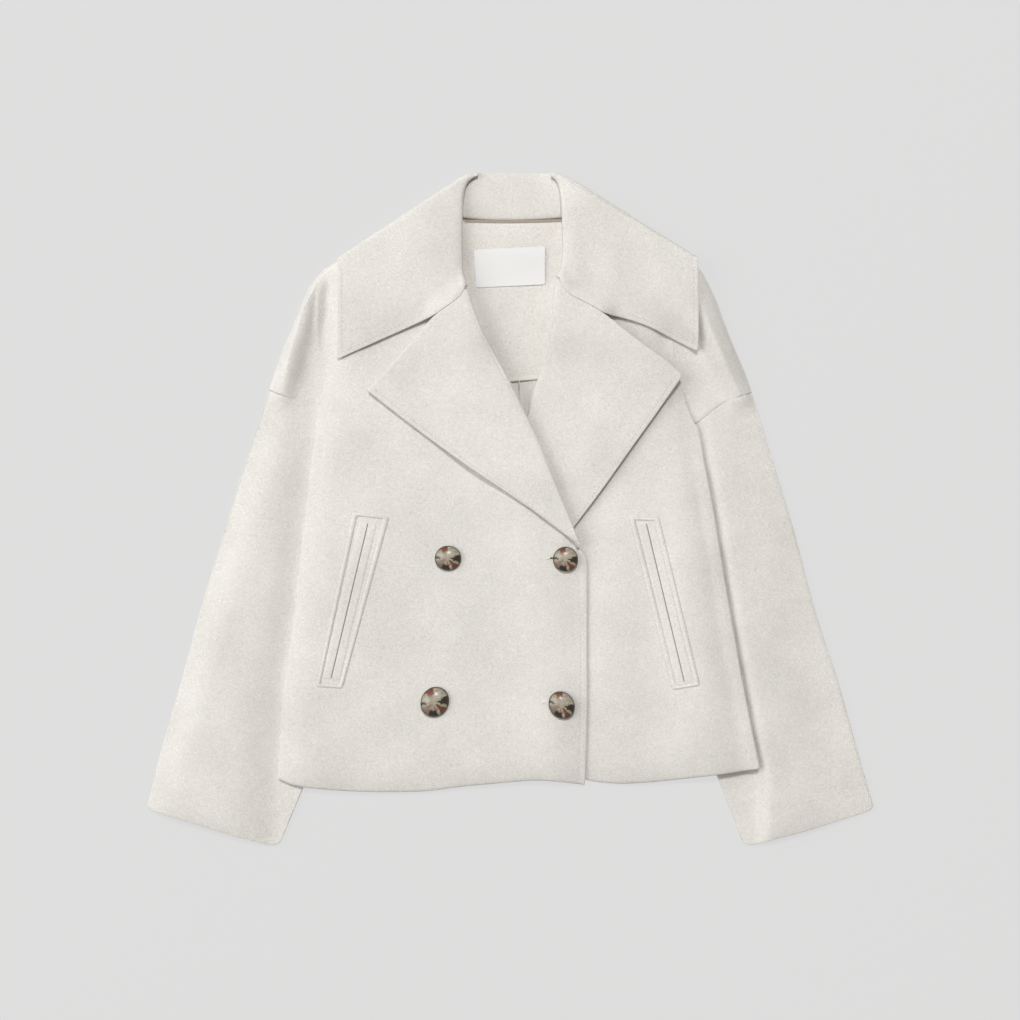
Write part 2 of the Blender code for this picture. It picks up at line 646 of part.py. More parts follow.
def lapel(table, side, roll_line):
    """The front's cloth turned back on the chest, and the facing that lies on it."""
    mirror = side["side"]
    turned = table.lay(lapel_plan(side, roll_line, UNDER_LAPEL_INSET), CLOTH, LAPEL_REACH,
                       FOLD_AIR - SEAM_GAP)
    table.press(turned, CLOTH)
    outward = plan_normals(roll_line) * -mirror
    roll = rolled(roll_line, turned[:, 0], outward, FOLD_BULGE)
    facing = table.lay(lapel_plan(side, roll_line, 0.0), CLOTH, LAPEL_REACH)
    table.press(facing, CLOTH)
    bulge = ROLL_OUTSIDE - CLOTH / 2
    lip_low = facing[:, 0] - (0, 0, 2 * bulge)
    lip = rolled(lip_low, facing[:, 0], outward, bulge, 2 * FOLD_STEPS)[:LIP_ROWS + 1, FOLD_STEPS:]
    return [turned, roll], [facing, lip]


def leaf(table, side, behind):
    """One wide leaf of the collar, with the stand below it and the turn over the shoulder."""
    mirror = side["side"]
    roll = moved_left(side["leaf_roll"], -mirror * (ROLL_BULGE + COLLAR_CLOTH / 2))
    roll = evenly(roll, LEAF_ROWS)[::-1]
    end = evenly(side["leaf_end"], LEAF_ROWS)
    end[0] = behind[0, :2]
    steps = LEAF_COLUMNS * 2 // 3
    front_edge = evenly(side["leaf_front"], steps)
    gorge = evenly(side["leaf_gorge"], LEAF_COLUMNS - steps)
    bottom = joined(front_edge, gorge)
    bottom[-1] = roll[-1]
    end[-1] = bottom[0]
    diagonal = behind[:, :2].copy()
    roll[0] = diagonal[-1]
    plan = patch(diagonal, bottom, end, roll)
    hidden = ruled(roll[1:], roll[1:] + (mirror * STAND_RETURN, 0), 2)
    stand = table.lay(hidden, COLLAR_CLOTH, LAPEL_REACH)
    table.press(stand, COLLAR_CLOTH)
    down = np.linspace(0, 1, LEAF_ROWS + 1)[:, None]
    across = np.linspace(0, 1, LEAF_COLUMNS + 1)[None]
    lift = LEAF_LIFT_POINT + (LEAF_LIFT_GORGE - LEAF_LIFT_POINT) * down * across
    top = table.lay(plan, COLLAR_CLOTH, LEAF_REACH, FOLD_AIR - SEAM_GAP + lift)
    turn = rolled(behind, top[0], plan_normals(behind) * -mirror, COLLAR_BULGE)
    edge = rolled(stand[:, 0], top[1:, -1], plan_normals(roll[1:]) * -mirror, ROLL_BULGE)
    return [top, stand, turn, edge]


def strip(table, line, width, thickness, count, reach=6.0):
    """A flat strip of cloth centred on a line, laid on what is there."""
    middle = evenly(line, count)
    sides = plan_normals(middle) * width / 2
    return table.lay(ruled(middle - sides, middle + sides, 1), thickness, reach)


def add_inside(table, coat):
    """What shows in the neck opening: facing, tapes and blank label."""
    top = evenly([(-56, 304.6), (-20, 302.2), (4, 302.2), (30, 303), (64, 305)], 6)
    bottom = evenly([(-44, 130), (4, 136), (24, 138), (62, 142)], 6)
    right = evenly([(-56, 304.6), (-54, 250), (-44, 130)], 8)
    left = evenly([(64, 305), (66, 250), (62, 142)], 8)
    plan = patch(top, bottom, right, left)
    facing = table.lay(plan, FACING_CLOTH, 8.0)
    table.press(facing, FACING_CLOTH)
    add_wall("back_facing", [facing], FACING_CLOTH, "wool_inside", coat)
    seam = strip(table, [(10, 130.5), (12, 112), (15, 92)], 5.0, TAPE, 3)
    table.press(seam, TAPE)
    add_wall("centre_seam_tape", [seam], TAPE, "tape", coat)
    hem = strip(table, [(-36, 133.5), (4, 138.5), (24, 140.5), (56, 144)], 4.5, TAPE, 8)
    table.press(hem, TAPE)
    add_wall("facing_tape", [hem], TAPE, "tape", coat)
    neck = strip(table, [(-46.5, 301.5), (2, 299.8), (54, 302.5)], 4.0, TAPE, 8)
    table.press(neck, TAPE)
    add_wall("neck_tape", [neck], TAPE, "tape", coat)
    corners = np.array([[(-38.7, 273.5), (36.6, 276.7)], [(-36.6, 233.5), (36.6, 236.9)]])
    rows = ruled(corners[0], corners[1], 4)
    plan = ruled(rows[0], rows[1], 6)
    label = table.lay(plan, LABEL_CLOTH, 6.0)
    table.press(label, LABEL_CLOTH)
    add_wall("neck_label", [label], LABEL_CLOTH, "label", coat)


def add_pocket(table, side, name, coat):
    """Two welts with the slit between them."""
    mirror = side["side"]
    slit = evenly(side["pocket"], 8)
    normal = plan_normals(slit)
    for part, sign in (("front", mirror), ("back", -mirror)):
        near = slit + normal * sign * WELT_PARTING
        far = slit + normal * sign * (WELT_PARTING + WELT_WIDTH)
        welt = table.lay(ruled(near, far, 2), WELT, 8.0)
        add_wall(f"welt_{name}_{part}", [welt], WELT, "wool", coat)


def add_button(table, name, x, y, diameter, coat):
    """A domed button on a short shank, turned round its axis."""
    radius = diameter / 2
    cells = widened(table.height, round(SHANK_RADIUS / CELL) + 1)
    base = table.read(cells, np.array([[x, y]], float))[0] + SEAM_GAP
    rim = base + SHANK_HEIGHT + 0.115 * radius
    outline = [(part * radius, rim + height * radius) for part, height in BUTTON_PROFILE]
    outline += [(SHANK_RADIUS, base + SHANK_HEIGHT), (SHANK_RADIUS, base), (0.0, base)]
    mesh = bpy.data.meshes.new(name)
    points = [(distance * MM, 0.0, height * MM) for distance, height in outline]
    mesh.from_pydata(points, [(k, k + 1) for k in range(len(points) - 1)], [])
    piece = add_object(name, mesh, "horn", coat)
    turning = piece.modifiers.new("turned", "SCREW")
    turning.steps = BUTTON_STEPS
    turning.render_steps = BUTTON_STEPS
    turning.use_merge_vertices = True
    turning.merge_threshold = 0.00001
    piece.location = (x * MM, y * MM, 0.0)
    return piece


def centre_on_table(coat):
    """Move the root so that the part's base is centred on the origin."""
    bpy.context.view_layer.update()
    depsgraph = bpy.context.evaluated_depsgraph_get()
    corners = []
    for piece in coat["collection"].objects:
        if piece.type != "MESH":
            continue
        evaluated = piece.evaluated_get(depsgraph)
        mesh = evaluated.to_mesh()
        points = np.empty(len(mesh.vertices) * 3)
        mesh.vertices.foreach_get("co", points)
        points = points.reshape(-1, 3) + np.array(piece.location)
        evaluated.to_mesh_clear()
        corners += [points.min(0), points.max(0)]
    low, high = np.min(corners, 0), np.max(corners, 0)
    coat["root"].location = (-(low[0] + high[0]) / 2, -(low[1] + high[1]) / 2, -low[2])


def build():
    for thing in list(bpy.data.objects):
        bpy.data.objects.remove(thing, do_unlink=True)
    coat = {"collection": make_collection("winter_coat")}
    coat["root"] = bpy.data.objects.new("coat_root", None)
    coat["collection"].objects.link(coat["root"])
    table = Table()
    sides = {"right": RIGHT, "left": LEFT}

    collar, behind = collar_behind(table)
    bare = Table(table.height)
    for name, side in sides.items():
        add_wall(f"sleeve_{name}", sleeve(table, side), CLOTH, "wool", coat)
    backs = {name: back_half(table, side) for name, side in sides.items()}
    returns = {name: side_return(table, side) for name, side in sides.items()}
    shoulders, wrap_edges = {}, {}
    for name, side in sides.items():
        shoulders[name] = back_shoulder(bare, side, backs[name])
        wrap_edges[name] = joined(backs[name][0, 2:], shoulders[name][:, -1])
        for grid in (backs[name], returns[name], shoulders[name]):
            table.press(grid, CLOTH)
    add_inside(table, coat)
    for name, side in sides.items():
        wrap = shoulder_wrap(table, side, wrap_edges[name])
        add_wall(f"back_{name}", [backs[name], shoulders[name]] + wrap, CLOTH, "wool", coat)
    for name in ("left", "right"):
        side = sides[name]
        grids, roll_line = front(table, side, returns[name])
        collar += leaf(table, side, behind[name])
        turned, facing = lapel(table, side, roll_line)
        add_wall(f"front_{name}", grids + turned, CLOTH, "wool", coat)
        add_wall(f"lapel_facing_{name}", facing, CLOTH, "wool", coat)
        add_pocket(table, side, name, coat)
    add_wall("collar", collar, COLLAR_CLOTH, "wool", coat)
    for button in BUTTONS:
        add_button(table, *button, coat)
    centre_on_table(coat)


build()
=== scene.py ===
import math

import bmesh
import bpy
import mathutils
import numpy as np
from bpy.props import FloatProperty, FloatVectorProperty, IntProperty, PointerProperty
from mathutils.bvhtree import BVHTree
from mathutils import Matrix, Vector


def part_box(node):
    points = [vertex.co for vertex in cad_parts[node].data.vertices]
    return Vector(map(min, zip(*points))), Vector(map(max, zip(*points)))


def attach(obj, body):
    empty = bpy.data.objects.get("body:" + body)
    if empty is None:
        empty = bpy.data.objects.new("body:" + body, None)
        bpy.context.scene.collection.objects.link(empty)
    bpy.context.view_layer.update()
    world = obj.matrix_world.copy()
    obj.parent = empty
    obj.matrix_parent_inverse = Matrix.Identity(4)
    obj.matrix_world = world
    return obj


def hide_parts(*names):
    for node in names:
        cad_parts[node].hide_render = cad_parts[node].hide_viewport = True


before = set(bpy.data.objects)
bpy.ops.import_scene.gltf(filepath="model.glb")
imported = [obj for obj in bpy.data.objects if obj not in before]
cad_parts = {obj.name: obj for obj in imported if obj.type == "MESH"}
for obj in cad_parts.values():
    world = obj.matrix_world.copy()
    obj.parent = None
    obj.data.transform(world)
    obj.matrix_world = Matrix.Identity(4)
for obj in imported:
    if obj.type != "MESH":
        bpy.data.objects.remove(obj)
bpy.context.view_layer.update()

bl_info = {
    "name": "Winter Coat Laid Flat",
    "version": (1, 0, 0),
    "blender": (4, 5, 0),
    "location": "3D View > Sidebar > Coat",
    "description": "Felted wool coat with a wide collar, lapels, welt pockets and horn buttons",
    "category": "Object",
}

MM = 0.001
WELD = 0.00003             # metres within which points of a cloth's grids are one
BODY = "root"

# ---- the table's raster, on which the height of the layers is kept (mm) ----
CELL = 2.0
TABLE_HALF_WIDTH = 410.0
TABLE_HALF_LENGTH = 380.0
SEAM_GAP = 0.3
SEAM_OVERLAP = -0.6        # panels sewn together run into each other in the seam
FOLD_AIR = 0.8
FOLD_LIFT = FOLD_AIR - SEAM_GAP
FAR = 99.0

# ---- thickness of the small pieces (mm) ----
FACING_CLOTH = 1.2
TAPE_CLOTH = 0.6
LABEL_CLOTH = 0.5
WELT_CLOTH = 0.9
FRAME_CLOTH = 0.5
SLIT_CLOTH = 0.2

# ---- rows and columns of the pieces ----
GRAIN = 4                  # fine rows for each row of the solids
FOLD_STEPS = 6
OUTER_ROWS = (5 * GRAIN, 3 * GRAIN, 16 * GRAIN)    # shoulder part, over the armhole, side fold
FOLD_START = OUTER_ROWS[0] + OUTER_ROWS[1]
CENTRE_ROWS = (3 * GRAIN, 12 * GRAIN, 9 * GRAIN)   # neckline, roll, front edge
BREAK_ROW = CENTRE_ROWS[0] + CENTRE_ROWS[1]
NECK_COLUMNS = GRAIN
STAND_COLUMNS = 30
CHEST_STEP = 6.0
SEAM_DETAIL = (0.7, 1.6, 3.0, 5.0)
END_DETAIL = (2.0, 5.0)
EDGE_DETAIL = (1.2, 2.4, 3.6, 4.8, 6.0, 7.0, 8.0, 10.0, 13.0)
LABEL_DETAIL = (0.5, 1.0, 1.6, 2.4, 3.4)
WELT_COLUMNS = (0.5, 0.9, 1.6, 3.0, 5.0, 7.0, 8.4, 9.2)

# ---- how wide a hollow each piece spans (mm) ----
BACK_REACH = 30.0
FRONT_REACH = 44.0
LAPEL_REACH = 16.0
FACING_REACH = 30.0
LEAF_REACH = 34.0
SHOULDER_REACH = 8.0
CLOSE_REACH = 3.5          # where an edge lies on what is below it

# ---- how far from an edge or a seam the cloth still clings or is raised (mm) ----
SIDE_CLING = 26.0
FOLD_CLING = 24.0
LIFT_REACH = 15.0
ARMHOLE_SPREAD = 14.0
SEAM_SPREAD = 9.0

# ---- heights and widths of the shapes (mm) ----
SLEEVE_CROWN = 11.0
CROWN_RISE = 70.0
SIDE_RETURN = 20.0
FOLD_TUCK = 9.0
UNDER_LAPEL_INSET = 2.0
BREAK_DIP = 2.6
COLLAR_BULGE = 4.5
ROLL_BULGE = 2.5
STAND_RETURN = 26.0
STAND_FULLNESS = 1.8
LEAF_FULLNESS = 1.6
SHOULDER_CREST = 6.2
CREST_TOP = 246.0
CREST_FOOT = 122.0
STRIP_SEWN_FROM = 268.0
SEAM_END_SHIFT = (-2.4, 0.4)
HEM_DEPTH = 30.0
HEM_RELIEF = 0.35
SHANK_RADIUS = 3.2
SHANK_HEIGHT = 0.5

# ---- pockets, buttonholes and stitches (mm) ----
FRAME_WIDTHS = (3.6, 6.0)  # a pocket frame's ends and sides
FRAME_BAND = 1.6
FRAME_SUNK = 0.45
WELT_LIFT = 0.16
WELT_SUNK = 0.5            # at its outer edge
WELT_END_DIP = 0.4
POCKET_SLIT = (-0.7, 0.0, 0.7)
POCKET_SLIT_LIFT = 0.03
BUTTONHOLE_LENGTH = 20.0
BUTTONHOLE_SLIT = (-0.9, 0.9)
BUTTONHOLE_SLIT_LIFT = 0.12
BAR_STITCHES = (0, 3.6, 0.8)                       # first, last, step along the buttonhole
BAR_HALF_LENGTH = 1.7
BAR_THREAD = 1.1
SIDE_STITCHES = (4.0, BUTTONHOLE_LENGTH, 0.9)
SIDE_STITCH_ENDS = (0.7, 2.0)
SIDE_THREAD = 0.8
STITCH_SPACING = 1.3       # from stitch to stitch, as parts of a stitch

CENTRE_BACK = [(4, 303), (7, 200), (10, 125), (14, 95), (12, -80), (9, -285)]

COLLAR_STYLE_EDGE = [(-181, 262), (-120, 236), (-55, 220), (4, 215), (65, 220), (130, 236), (196, 262)]
STAND_SEAM = [(-58, 308.5), (-30, 305.5), (2, 304.8), (34, 306), (63, 308.5)]
STAND_ENDS = [(-56.0, 338.0), (61.0, 338.0)]
FACING_EDGES = [           # top, bottom, right, left
    [(-56, 304.6), (-20, 302.2), (4, 302.2), (30, 303), (64, 305)],
    [(-44, 130), (4, 136), (24, 138), (62, 142)],
    [(-56, 304.6), (-54, 250), (-44, 130)],
    [(64, 305), (66, 250), (62, 142)],
]
TAPES = [                  # name, line, width, material
    ("centre_seam_tape", [(11, 133), (12.4, 112), (15, 92)], 4.2, "tape"),
    ("facing_tape", [(-36, 131.5), (4, 136.6), (24, 138.4), (56, 142)], 4.4, "tape"),
    ("neck_tape", [(-48.5, 303.8), (2, 303.0), (56, 304.4)], 2.8, "neck_tape"),
]
LABEL_EDGES = [[(-38.7, 273.5), (36.6, 276.7)], [(-36.6, 233.5), (36.6, 236.9)]]

RIGHT = {
    "side": -1,
    "neck": [(4, 303), (-20, 302.5), (-47, 304), (-62, 305)],
    "shoulder_fold": [(-62, 305), (-105, 292), (-150, 276), (-190, 261)],
    "shoulder_edge": [(-190, 261), (-207, 244), (-216, 231), (-225, 208), (-236, 182), (-246, 157),
                      (-257, 125)],
    "seam_under_collar": [(-62, 296), (-105, 282), (-150, 267), (-186, 254), (-204, 240)],
    "shoulder_seam": [(-204, 240), (-211, 226), (-218, 212), (-223, 196), (-232, 167), (-243, 122)],
    "shoulder_fall": [(-204, 240), (-205, 220), (-204, 178), (-198, 136)],
    "side_over_armhole": [(-198, 136), (-200, 124), (-202, 111)],
    "side_fold": [(-202, 111), (-206, 83), (-210, 51), (-216, 3), (-228, -104), (-242, -211),
                  (-246, -288)],
    "neckline": [(-62, 296), (-55, 262), (-48, 231)],
    "roll": [(-44, 231), (-40, 216), (-32, 194), (-20, 170), (-4, 141), (14, 104), (31.5, 67), (45, 35),
             (56, 6), (67, -22), (74.5, -41)],
    "front_edge": [(77.8, -47.5), (80.2, -58), (81, -80), (81, -150), (81, -220), (79, -294)],
    "hem": [(-246, -288), (-220, -296), (-160, -301), (-96, -301), (-54, -296), (-11, -292), (31, -289),
            (79, -294)],
    "armhole": [(-257, 124), (-241, 121), (-221, 112), (-202, 110), (-140, 92), (-70, 61)],
    "back_fall": [(-186, 258), (-186, 200), (-184, 150), (-182, 112)],
    "sleeve_outer": [(-257, 124), (-267, 93), (-284, 42), (-307, -34), (-330, -110), (-351, -187),
                     (-373, -263), (-385, -314)],
    "sleeve_inner": [(-70, 61), (-113, -41), (-156, -143), (-198, -245), (-241, -347)],
    "cuff": [(-385, -314), (-382, -320), (-350, -330), (-318, -340), (-284, -350), (-250, -358),
             (-241, -347)],
    "gorge": [(-48, 232), (-50, 226.5), (-54, 221.5), (-67, 212), (-80, 203)],
    "lapel_top": [(-80, 203), (-98, 183), (-124, 153), (-151, 124)],
    "lapel_edge": [(-151, 124), (-97, 82), (-43, 43), (15, 4), (50, -21.5), (70.5, -37.3)],
    "lapel_end": [(74.5, -41), (70.5, -37.3)],
    "leaf_tip": (-183, 266),
    "leaf_end": [(-183, 266), (-183, 210), (-183, 157)],
    "leaf_front": [(-183, 157), (-132, 180), (-80, 203)],
    "leaf_roll": [(-48.3, 233), (-51.8, 243), (-53.9, 253), (-54.2, 270), (-54.2, 295), (-53.8, 322),
                  (-52, 336), (-49, 345), (-44, 350.2), (-39.5, 352.4), (-34.5, 353.4)],
    "leaf_knee": (-60, 346.5),
    "leaf_bend": (-46, 350.3),
    "leaf_lift": (0.0, 2.4),
    "lapel_lift": 1.3,
    "lapel_reach": 50.0,
    "centre_reach": 16.0,
    "sleeve_crest": (20.0, 26.0),
    "fold_reach": 14.0,
    "pocket": [(-150, -14), (-190, -182)],
    "pocket_frame": [(-167, -4), (-128, -9.5), (-177.5, -191), (-206, -189)],
}

LEFT = {
    "side": 1,
    "neck": [(4, 303), (28, 303.5), (55, 305), (70, 305)],
    "shoulder_fold": [(70, 305), (110, 293), (155, 277), (196, 261)],
    "shoulder_edge": [(196, 261), (204, 250), (211, 237), (219, 220), (228, 195), (238, 170), (249, 144),
                      (257, 122)],
    "seam_under_collar": [(66, 297), (110, 282), (150, 265), (180, 250)],
    "shoulder_seam": [(180, 250), (194, 236), (201, 220), (211, 194), (227, 157), (245, 121)],
    "shoulder_fall": [(180, 250), (174, 225), (172, 200), (173, 182)],
    "side_over_armhole": [(173, 182), (176, 160), (183, 130), (190, 104), (197, 89)],
    "side_fold": [(197, 89), (201, 76), (207, 40), (214, 3), (227, -77), (241, -158), (254, -227),
                  (264, -276)],
    "neckline": [(66, 297), (60, 268), (52, 241)],
    "roll": [(47.5, 241), (45, 220), (41, 189), (32.5, 147), (24, 125), (17, 99), (10, 82)],
    "front_edge": [(-10, 30), (-40, -30), (-64, -80), (-79, -150), (-85, -220), (-86, -288)],
    "hem": [(264, -276), (201, -285), (137, -292), (100, -292), (60, -286), (0, -284), (-86, -288)],
    "armhole": [(257, 121), (241, 118.5), (219, 107), (197, 88.5), (150, 74), (84, 56)],
    "back_fall": [(192, 258), (186, 200), (182, 140), (180, 89)],
    "sleeve_outer": [(257, 121), (273, 68), (289, 17), (304, -34), (324, -110), (349, -187), (370, -263),
                     (385, -314)],
    "sleeve_inner": [(84, 56), (124, -46), (165, -147), (205, -249), (245, -350)],
    "cuff": [(385, -314), (382, -321), (350, -331), (318, -341), (284, -350), (252, -358), (245, -350)],
    "gorge": [(51.5, 241), (53.5, 235.5), (57, 230.5), (64.5, 223.7), (84, 214), (99, 205)],
    "lapel_top": [(99, 205), (137, 175), (164, 156), (182, 140)],
    "lapel_edge": [(182, 140), (154, 100), (126, 61), (97, 20), (67, -20), (59, -31)],
    "lapel_end": [(10, 82), (34, 26), (59, -31)],
    "leaf_tip": (198, 266),
    "leaf_end": [(198, 266), (198.5, 215), (199, 166)],
    "leaf_front": [(199, 166), (174, 178), (148, 191), (122, 200), (99, 205)],
    "leaf_roll": [(51.8, 242), (56.4, 251), (58.2, 262), (58.6, 285), (57.6, 312), (56, 333), (53.8, 343),
                  (50.6, 348.6), (47, 351.4), (43, 352.9)],
    "leaf_knee": (66, 348.5),
    "leaf_bend": (52, 350.3),
    "leaf_lift": (0.3, 1.7),
    "lapel_lift": 3.2,
    "lapel_reach": 210.0,
    "centre_reach": 95.0,
    "sleeve_crest": (54.0, 5.0),
    "fold_reach": 34.0,
    "pocket": [(143, -14), (184, -186)],
    "pocket_frame": [(157, -9.5), (125, -10.5), (171, -192.5), (200, -187)],
}
SIDES = {"right": RIGHT, "left": LEFT}
LAMPS = [                  # name, direction, distance and size in metres, share of the light
    ("top lamp", (0.02, 0.47, 0.88), 9.0, 1.5, 0.56),
    ("left lamp", (-0.78, 0.12, 0.62), 6.0, 5.6, 0.44),
]
LAMP_COLOUR = (0.992, 1.0, 1.0)
SURROUND_COLOUR = (1, 0.94, 0.87, 1)
FLOOR_HALF_WIDTH = 6.0     # metres
FLOOR_GAP = 0.0004         # metres below the coat
SENSOR_WIDTH = 36.0
PICTURE_CENTRE = (-0.53, -2.12)                    # of the camera's picture on the coat (mm)
PICTURE_LEVEL = 0.008      # height at which the picture takes in the frame width (metres)

WOVEN = {                  # threads to the metre, roughness
    "tape": (420.0, 0.8),
    "neck_tape": (420.0, 0.8),
    "label": (700.0, 0.55),
    "thread": (900.0, 0.7),
    "silk": (900.0, 0.7),
}
FLECK = 0.28
PILE_DEPTH = 0.0009

BUTTONS = [                # name, x, y, length, width, way of the length, turn of the streaks (degrees)
    ("button_upper_right", -66, -53, 28.0, 26.5, 0, 0),
    ("button_upper_left", 58, -54, 26.5, 26.5, 0, -2),
    ("button_lower_right", -80, -205, 33.0, 29.5, 60, 8),
    ("button_lower_left", 54, -208, 30.3, 26.5, -55, -10),
]

BUTTONHOLES = [("upper", 37.8, -53.0, 4.0), ("lower", 33.6, -205.0, 8.0)]   # outer end, slit's start
HORN_OUTER = [             # streaks near the rim: degrees, colour
    (-180, "dark"), (-172, "light"), (-160, "mauve"), (-130, "mauve"), (-121, "dark"), (-82, "dark"),
    (-76, "light"), (-68, "light"), (-63, "red"), (-38, "red"), (-31, "light"), (-25, "light"),
    (-19, "dark"), (14, "dark"), (21, "light"), (86, "light"), (94, "red"), (124, "red"), (133, "light"),
    (169, "light"), (177, "dark"),
]
HORN_INNER = [
    (-180, "light"), (-150, "mauve"), (-118, "light"), (-100, "mauve"), (-72, "light"), (-60, "red"),
    (-42, "red"), (-32, "light"), (-15, "light"), (-9, "dark"), (5, "dark"), (11, "light"), (100, "light"),
    (108, "mauve"), (116, "light"),
]

BUTTON_PROFILE = [         # distance from the axis and height, as parts of the radius
    (0.0, 0.45), (0.15, 0.446), (0.30, 0.432), (0.44, 0.405), (0.56, 0.372), (0.68, 0.325), (0.78, 0.27),
    (0.86, 0.212), (0.92, 0.15), (0.97, 0.085), (1.0, 0.02), (1.0, -0.03), (0.985, -0.06), (0.94, -0.09),
    (0.90, -0.10), (0.60, -0.115),
]

# ---- folds: line, widths of its left and right flank, height; troughs negative (mm) ----
FOLDS = {
    "front_right": [
        ([(-150, 70), (-152, -20), (-166, -130), (-176, -230)], (36, 42), 3.6),
        ([(-70, 10), (-60, -90), (-52, -200), (-46, -290)], (26,), 1.2),
        ([(0, -60), (-20, -160), (-14, -285)], (30,), 1.0),
        ([(20, 20), (-10, -30), (-30, -60)], (14,), -0.8),
    ],
    "front_left": [
        ([(122, 40), (118, -60), (114, -150), (112, -290)], (34, 34), 5.8),
        ([(178, 70), (184, -30), (188, -140), (196, -285)], (62, 24), 6.8),
        ([(205, -150), (212, -220), (216, -280)], (44, 24), 2.6),
        ([(100, 0), (96, -90), (92, -280)], (20,), 0.7),
        ([(176, 122), (168, 70), (156, 22)], (15,), -1.0),
    ],
    "sleeve_right": [
        ([(-255, 60), (-268, -60), (-300, -160), (-330, -270)], (20,), -1.3),
        ([(-222, -180), (-250, -215), (-252, -300)], (16,), 1.2),
        ([(-300, 20), (-318, -80), (-345, -180)], (22,), 0.9),
    ],
    "sleeve_left": [
        ([(262, 50), (280, -60), (300, -150)], (22,), 1.0),
        ([(300, -120), (322, -210), (345, -290)], (18,), -1.2),
        ([(258, -180), (262, -250), (290, -330)], (16,), 1.0),
    ],
    "leaf_right": [
        ([(-150, 245), (-110, 262), (-70, 262)], (26,), 0.7),
        ([(-60, 330), (-62, 270), (-66, 228)], (9,), 0.9),
        ([(-120, 205), (-95, 235), (-80, 250)], (14,), -0.5),
    ],
    "leaf_left": [
        ([(95, 300), (88, 260), (84, 220)], (12,), -0.9),
        ([(64, 330), (66, 270), (70, 232)], (8,), 0.9),
        ([(160, 200), (165, 230), (170, 262)], (18,), 0.8),
        ([(120, 225), (125, 250), (120, 285)], (14,), -0.5),
    ],
    "lapel_right": [
        ([(-60, 200), (-30, 140), (10, 60)], (18,), 0.7),
        ([(-75, 150), (-40, 90), (0, 40)], (16,), -0.6),
    ],
    "lapel_left": [
        ([(70, 215), (56, 160), (44, 110)], (12,), 0.8),
        ([(90, 185), (82, 120), (72, 60)], (14,), -0.7),
    ],
}

SEWN_TO_FRONT = ["welt_{0}_front_cloth", "welt_{0}_back_cloth", "pocket_frame_{0}_cloth", "pocket_slit_{0}",
                 "topstitching_front_{0}_{0}"]
SHEETS = [                 # cloth, sides, flat size, way it is held, what it rests on, what is sewn on
    ("sleeve_{0}", SIDES, (0.36, 0.53), "folded", ["floor"], []),
    ("back_{0}", SIDES, (0.30, 0.62), "laid", ["sleeve_{0}_cloth", "floor"], []),
    ("back_facing", [""], (0.125, 0.175), "laid", ["back_right_cloth", "back_left_cloth"],
     ["centre_seam_tape_cloth", "facing_tape_cloth", "neck_tape_cloth"]),
    ("neck_label", [""], (0.077, 0.0425), "laid", ["back_facing_cloth"], []),
    ("front_{0}", ["right"], (0.44, 0.62), "folded", ["back_right_cloth", "front_left_cloth"],
     SEWN_TO_FRONT + ["buttonhole_stitches", "buttonhole_upper_slit", "buttonhole_lower_slit"]),
    ("front_{0}", ["left"], (0.44, 0.62), "folded", ["back_left_cloth"], SEWN_TO_FRONT),
    ("lapel_{0}", SIDES, (0.21, 0.29), "laid", ["front_{0}_cloth"], ["topstitching_lapel_{0}_{0}"]),
    ("collar", [""], (0.52, 0.19), "folded", ["front_right_cloth", "front_left_cloth"],
     ["topstitching_collar_right", "topstitching_collar_left"]),
]


# ---- settings ----
def length_setting(name, description, default, low, high):
    """A length in metres, to be set in the sidebar."""
    return FloatProperty(name=name, description=description, default=default, min=low, max=high,
                         subtype="DISTANCE", unit="LENGTH")


def colour_setting(name, description, *default):
    """A colour to be set in the sidebar."""
    return FloatVectorProperty(name=name, description=description, default=default, size=3, min=0, max=1,
                               subtype="COLOR")


class CoatSizes(bpy.types.PropertyGroup):
    cloth: length_setting("Shell cloth", "Thickness of the felted shell", 0.0016, 0.001, 0.003)
    collar_cloth: length_setting("Collar cloth", "Thickness of the two collar layers", 0.0028, 0.002, 0.005)
    fullness: length_setting("Fullness", "How far the fronts stand above their edges", 0.0045, 0.0, 0.008)
    stitch: length_setting("Stitch length", "Length of one topstitch", 0.0032, 0.002, 0.006)
    thread: length_setting("Thread", "Thickness of the topstitching thread", 0.0006, 0.0003, 0.001)
    button_steps: IntProperty(name="Button steps", description="Faces round the rim of a button",
                              default=64, min=24, max=128)


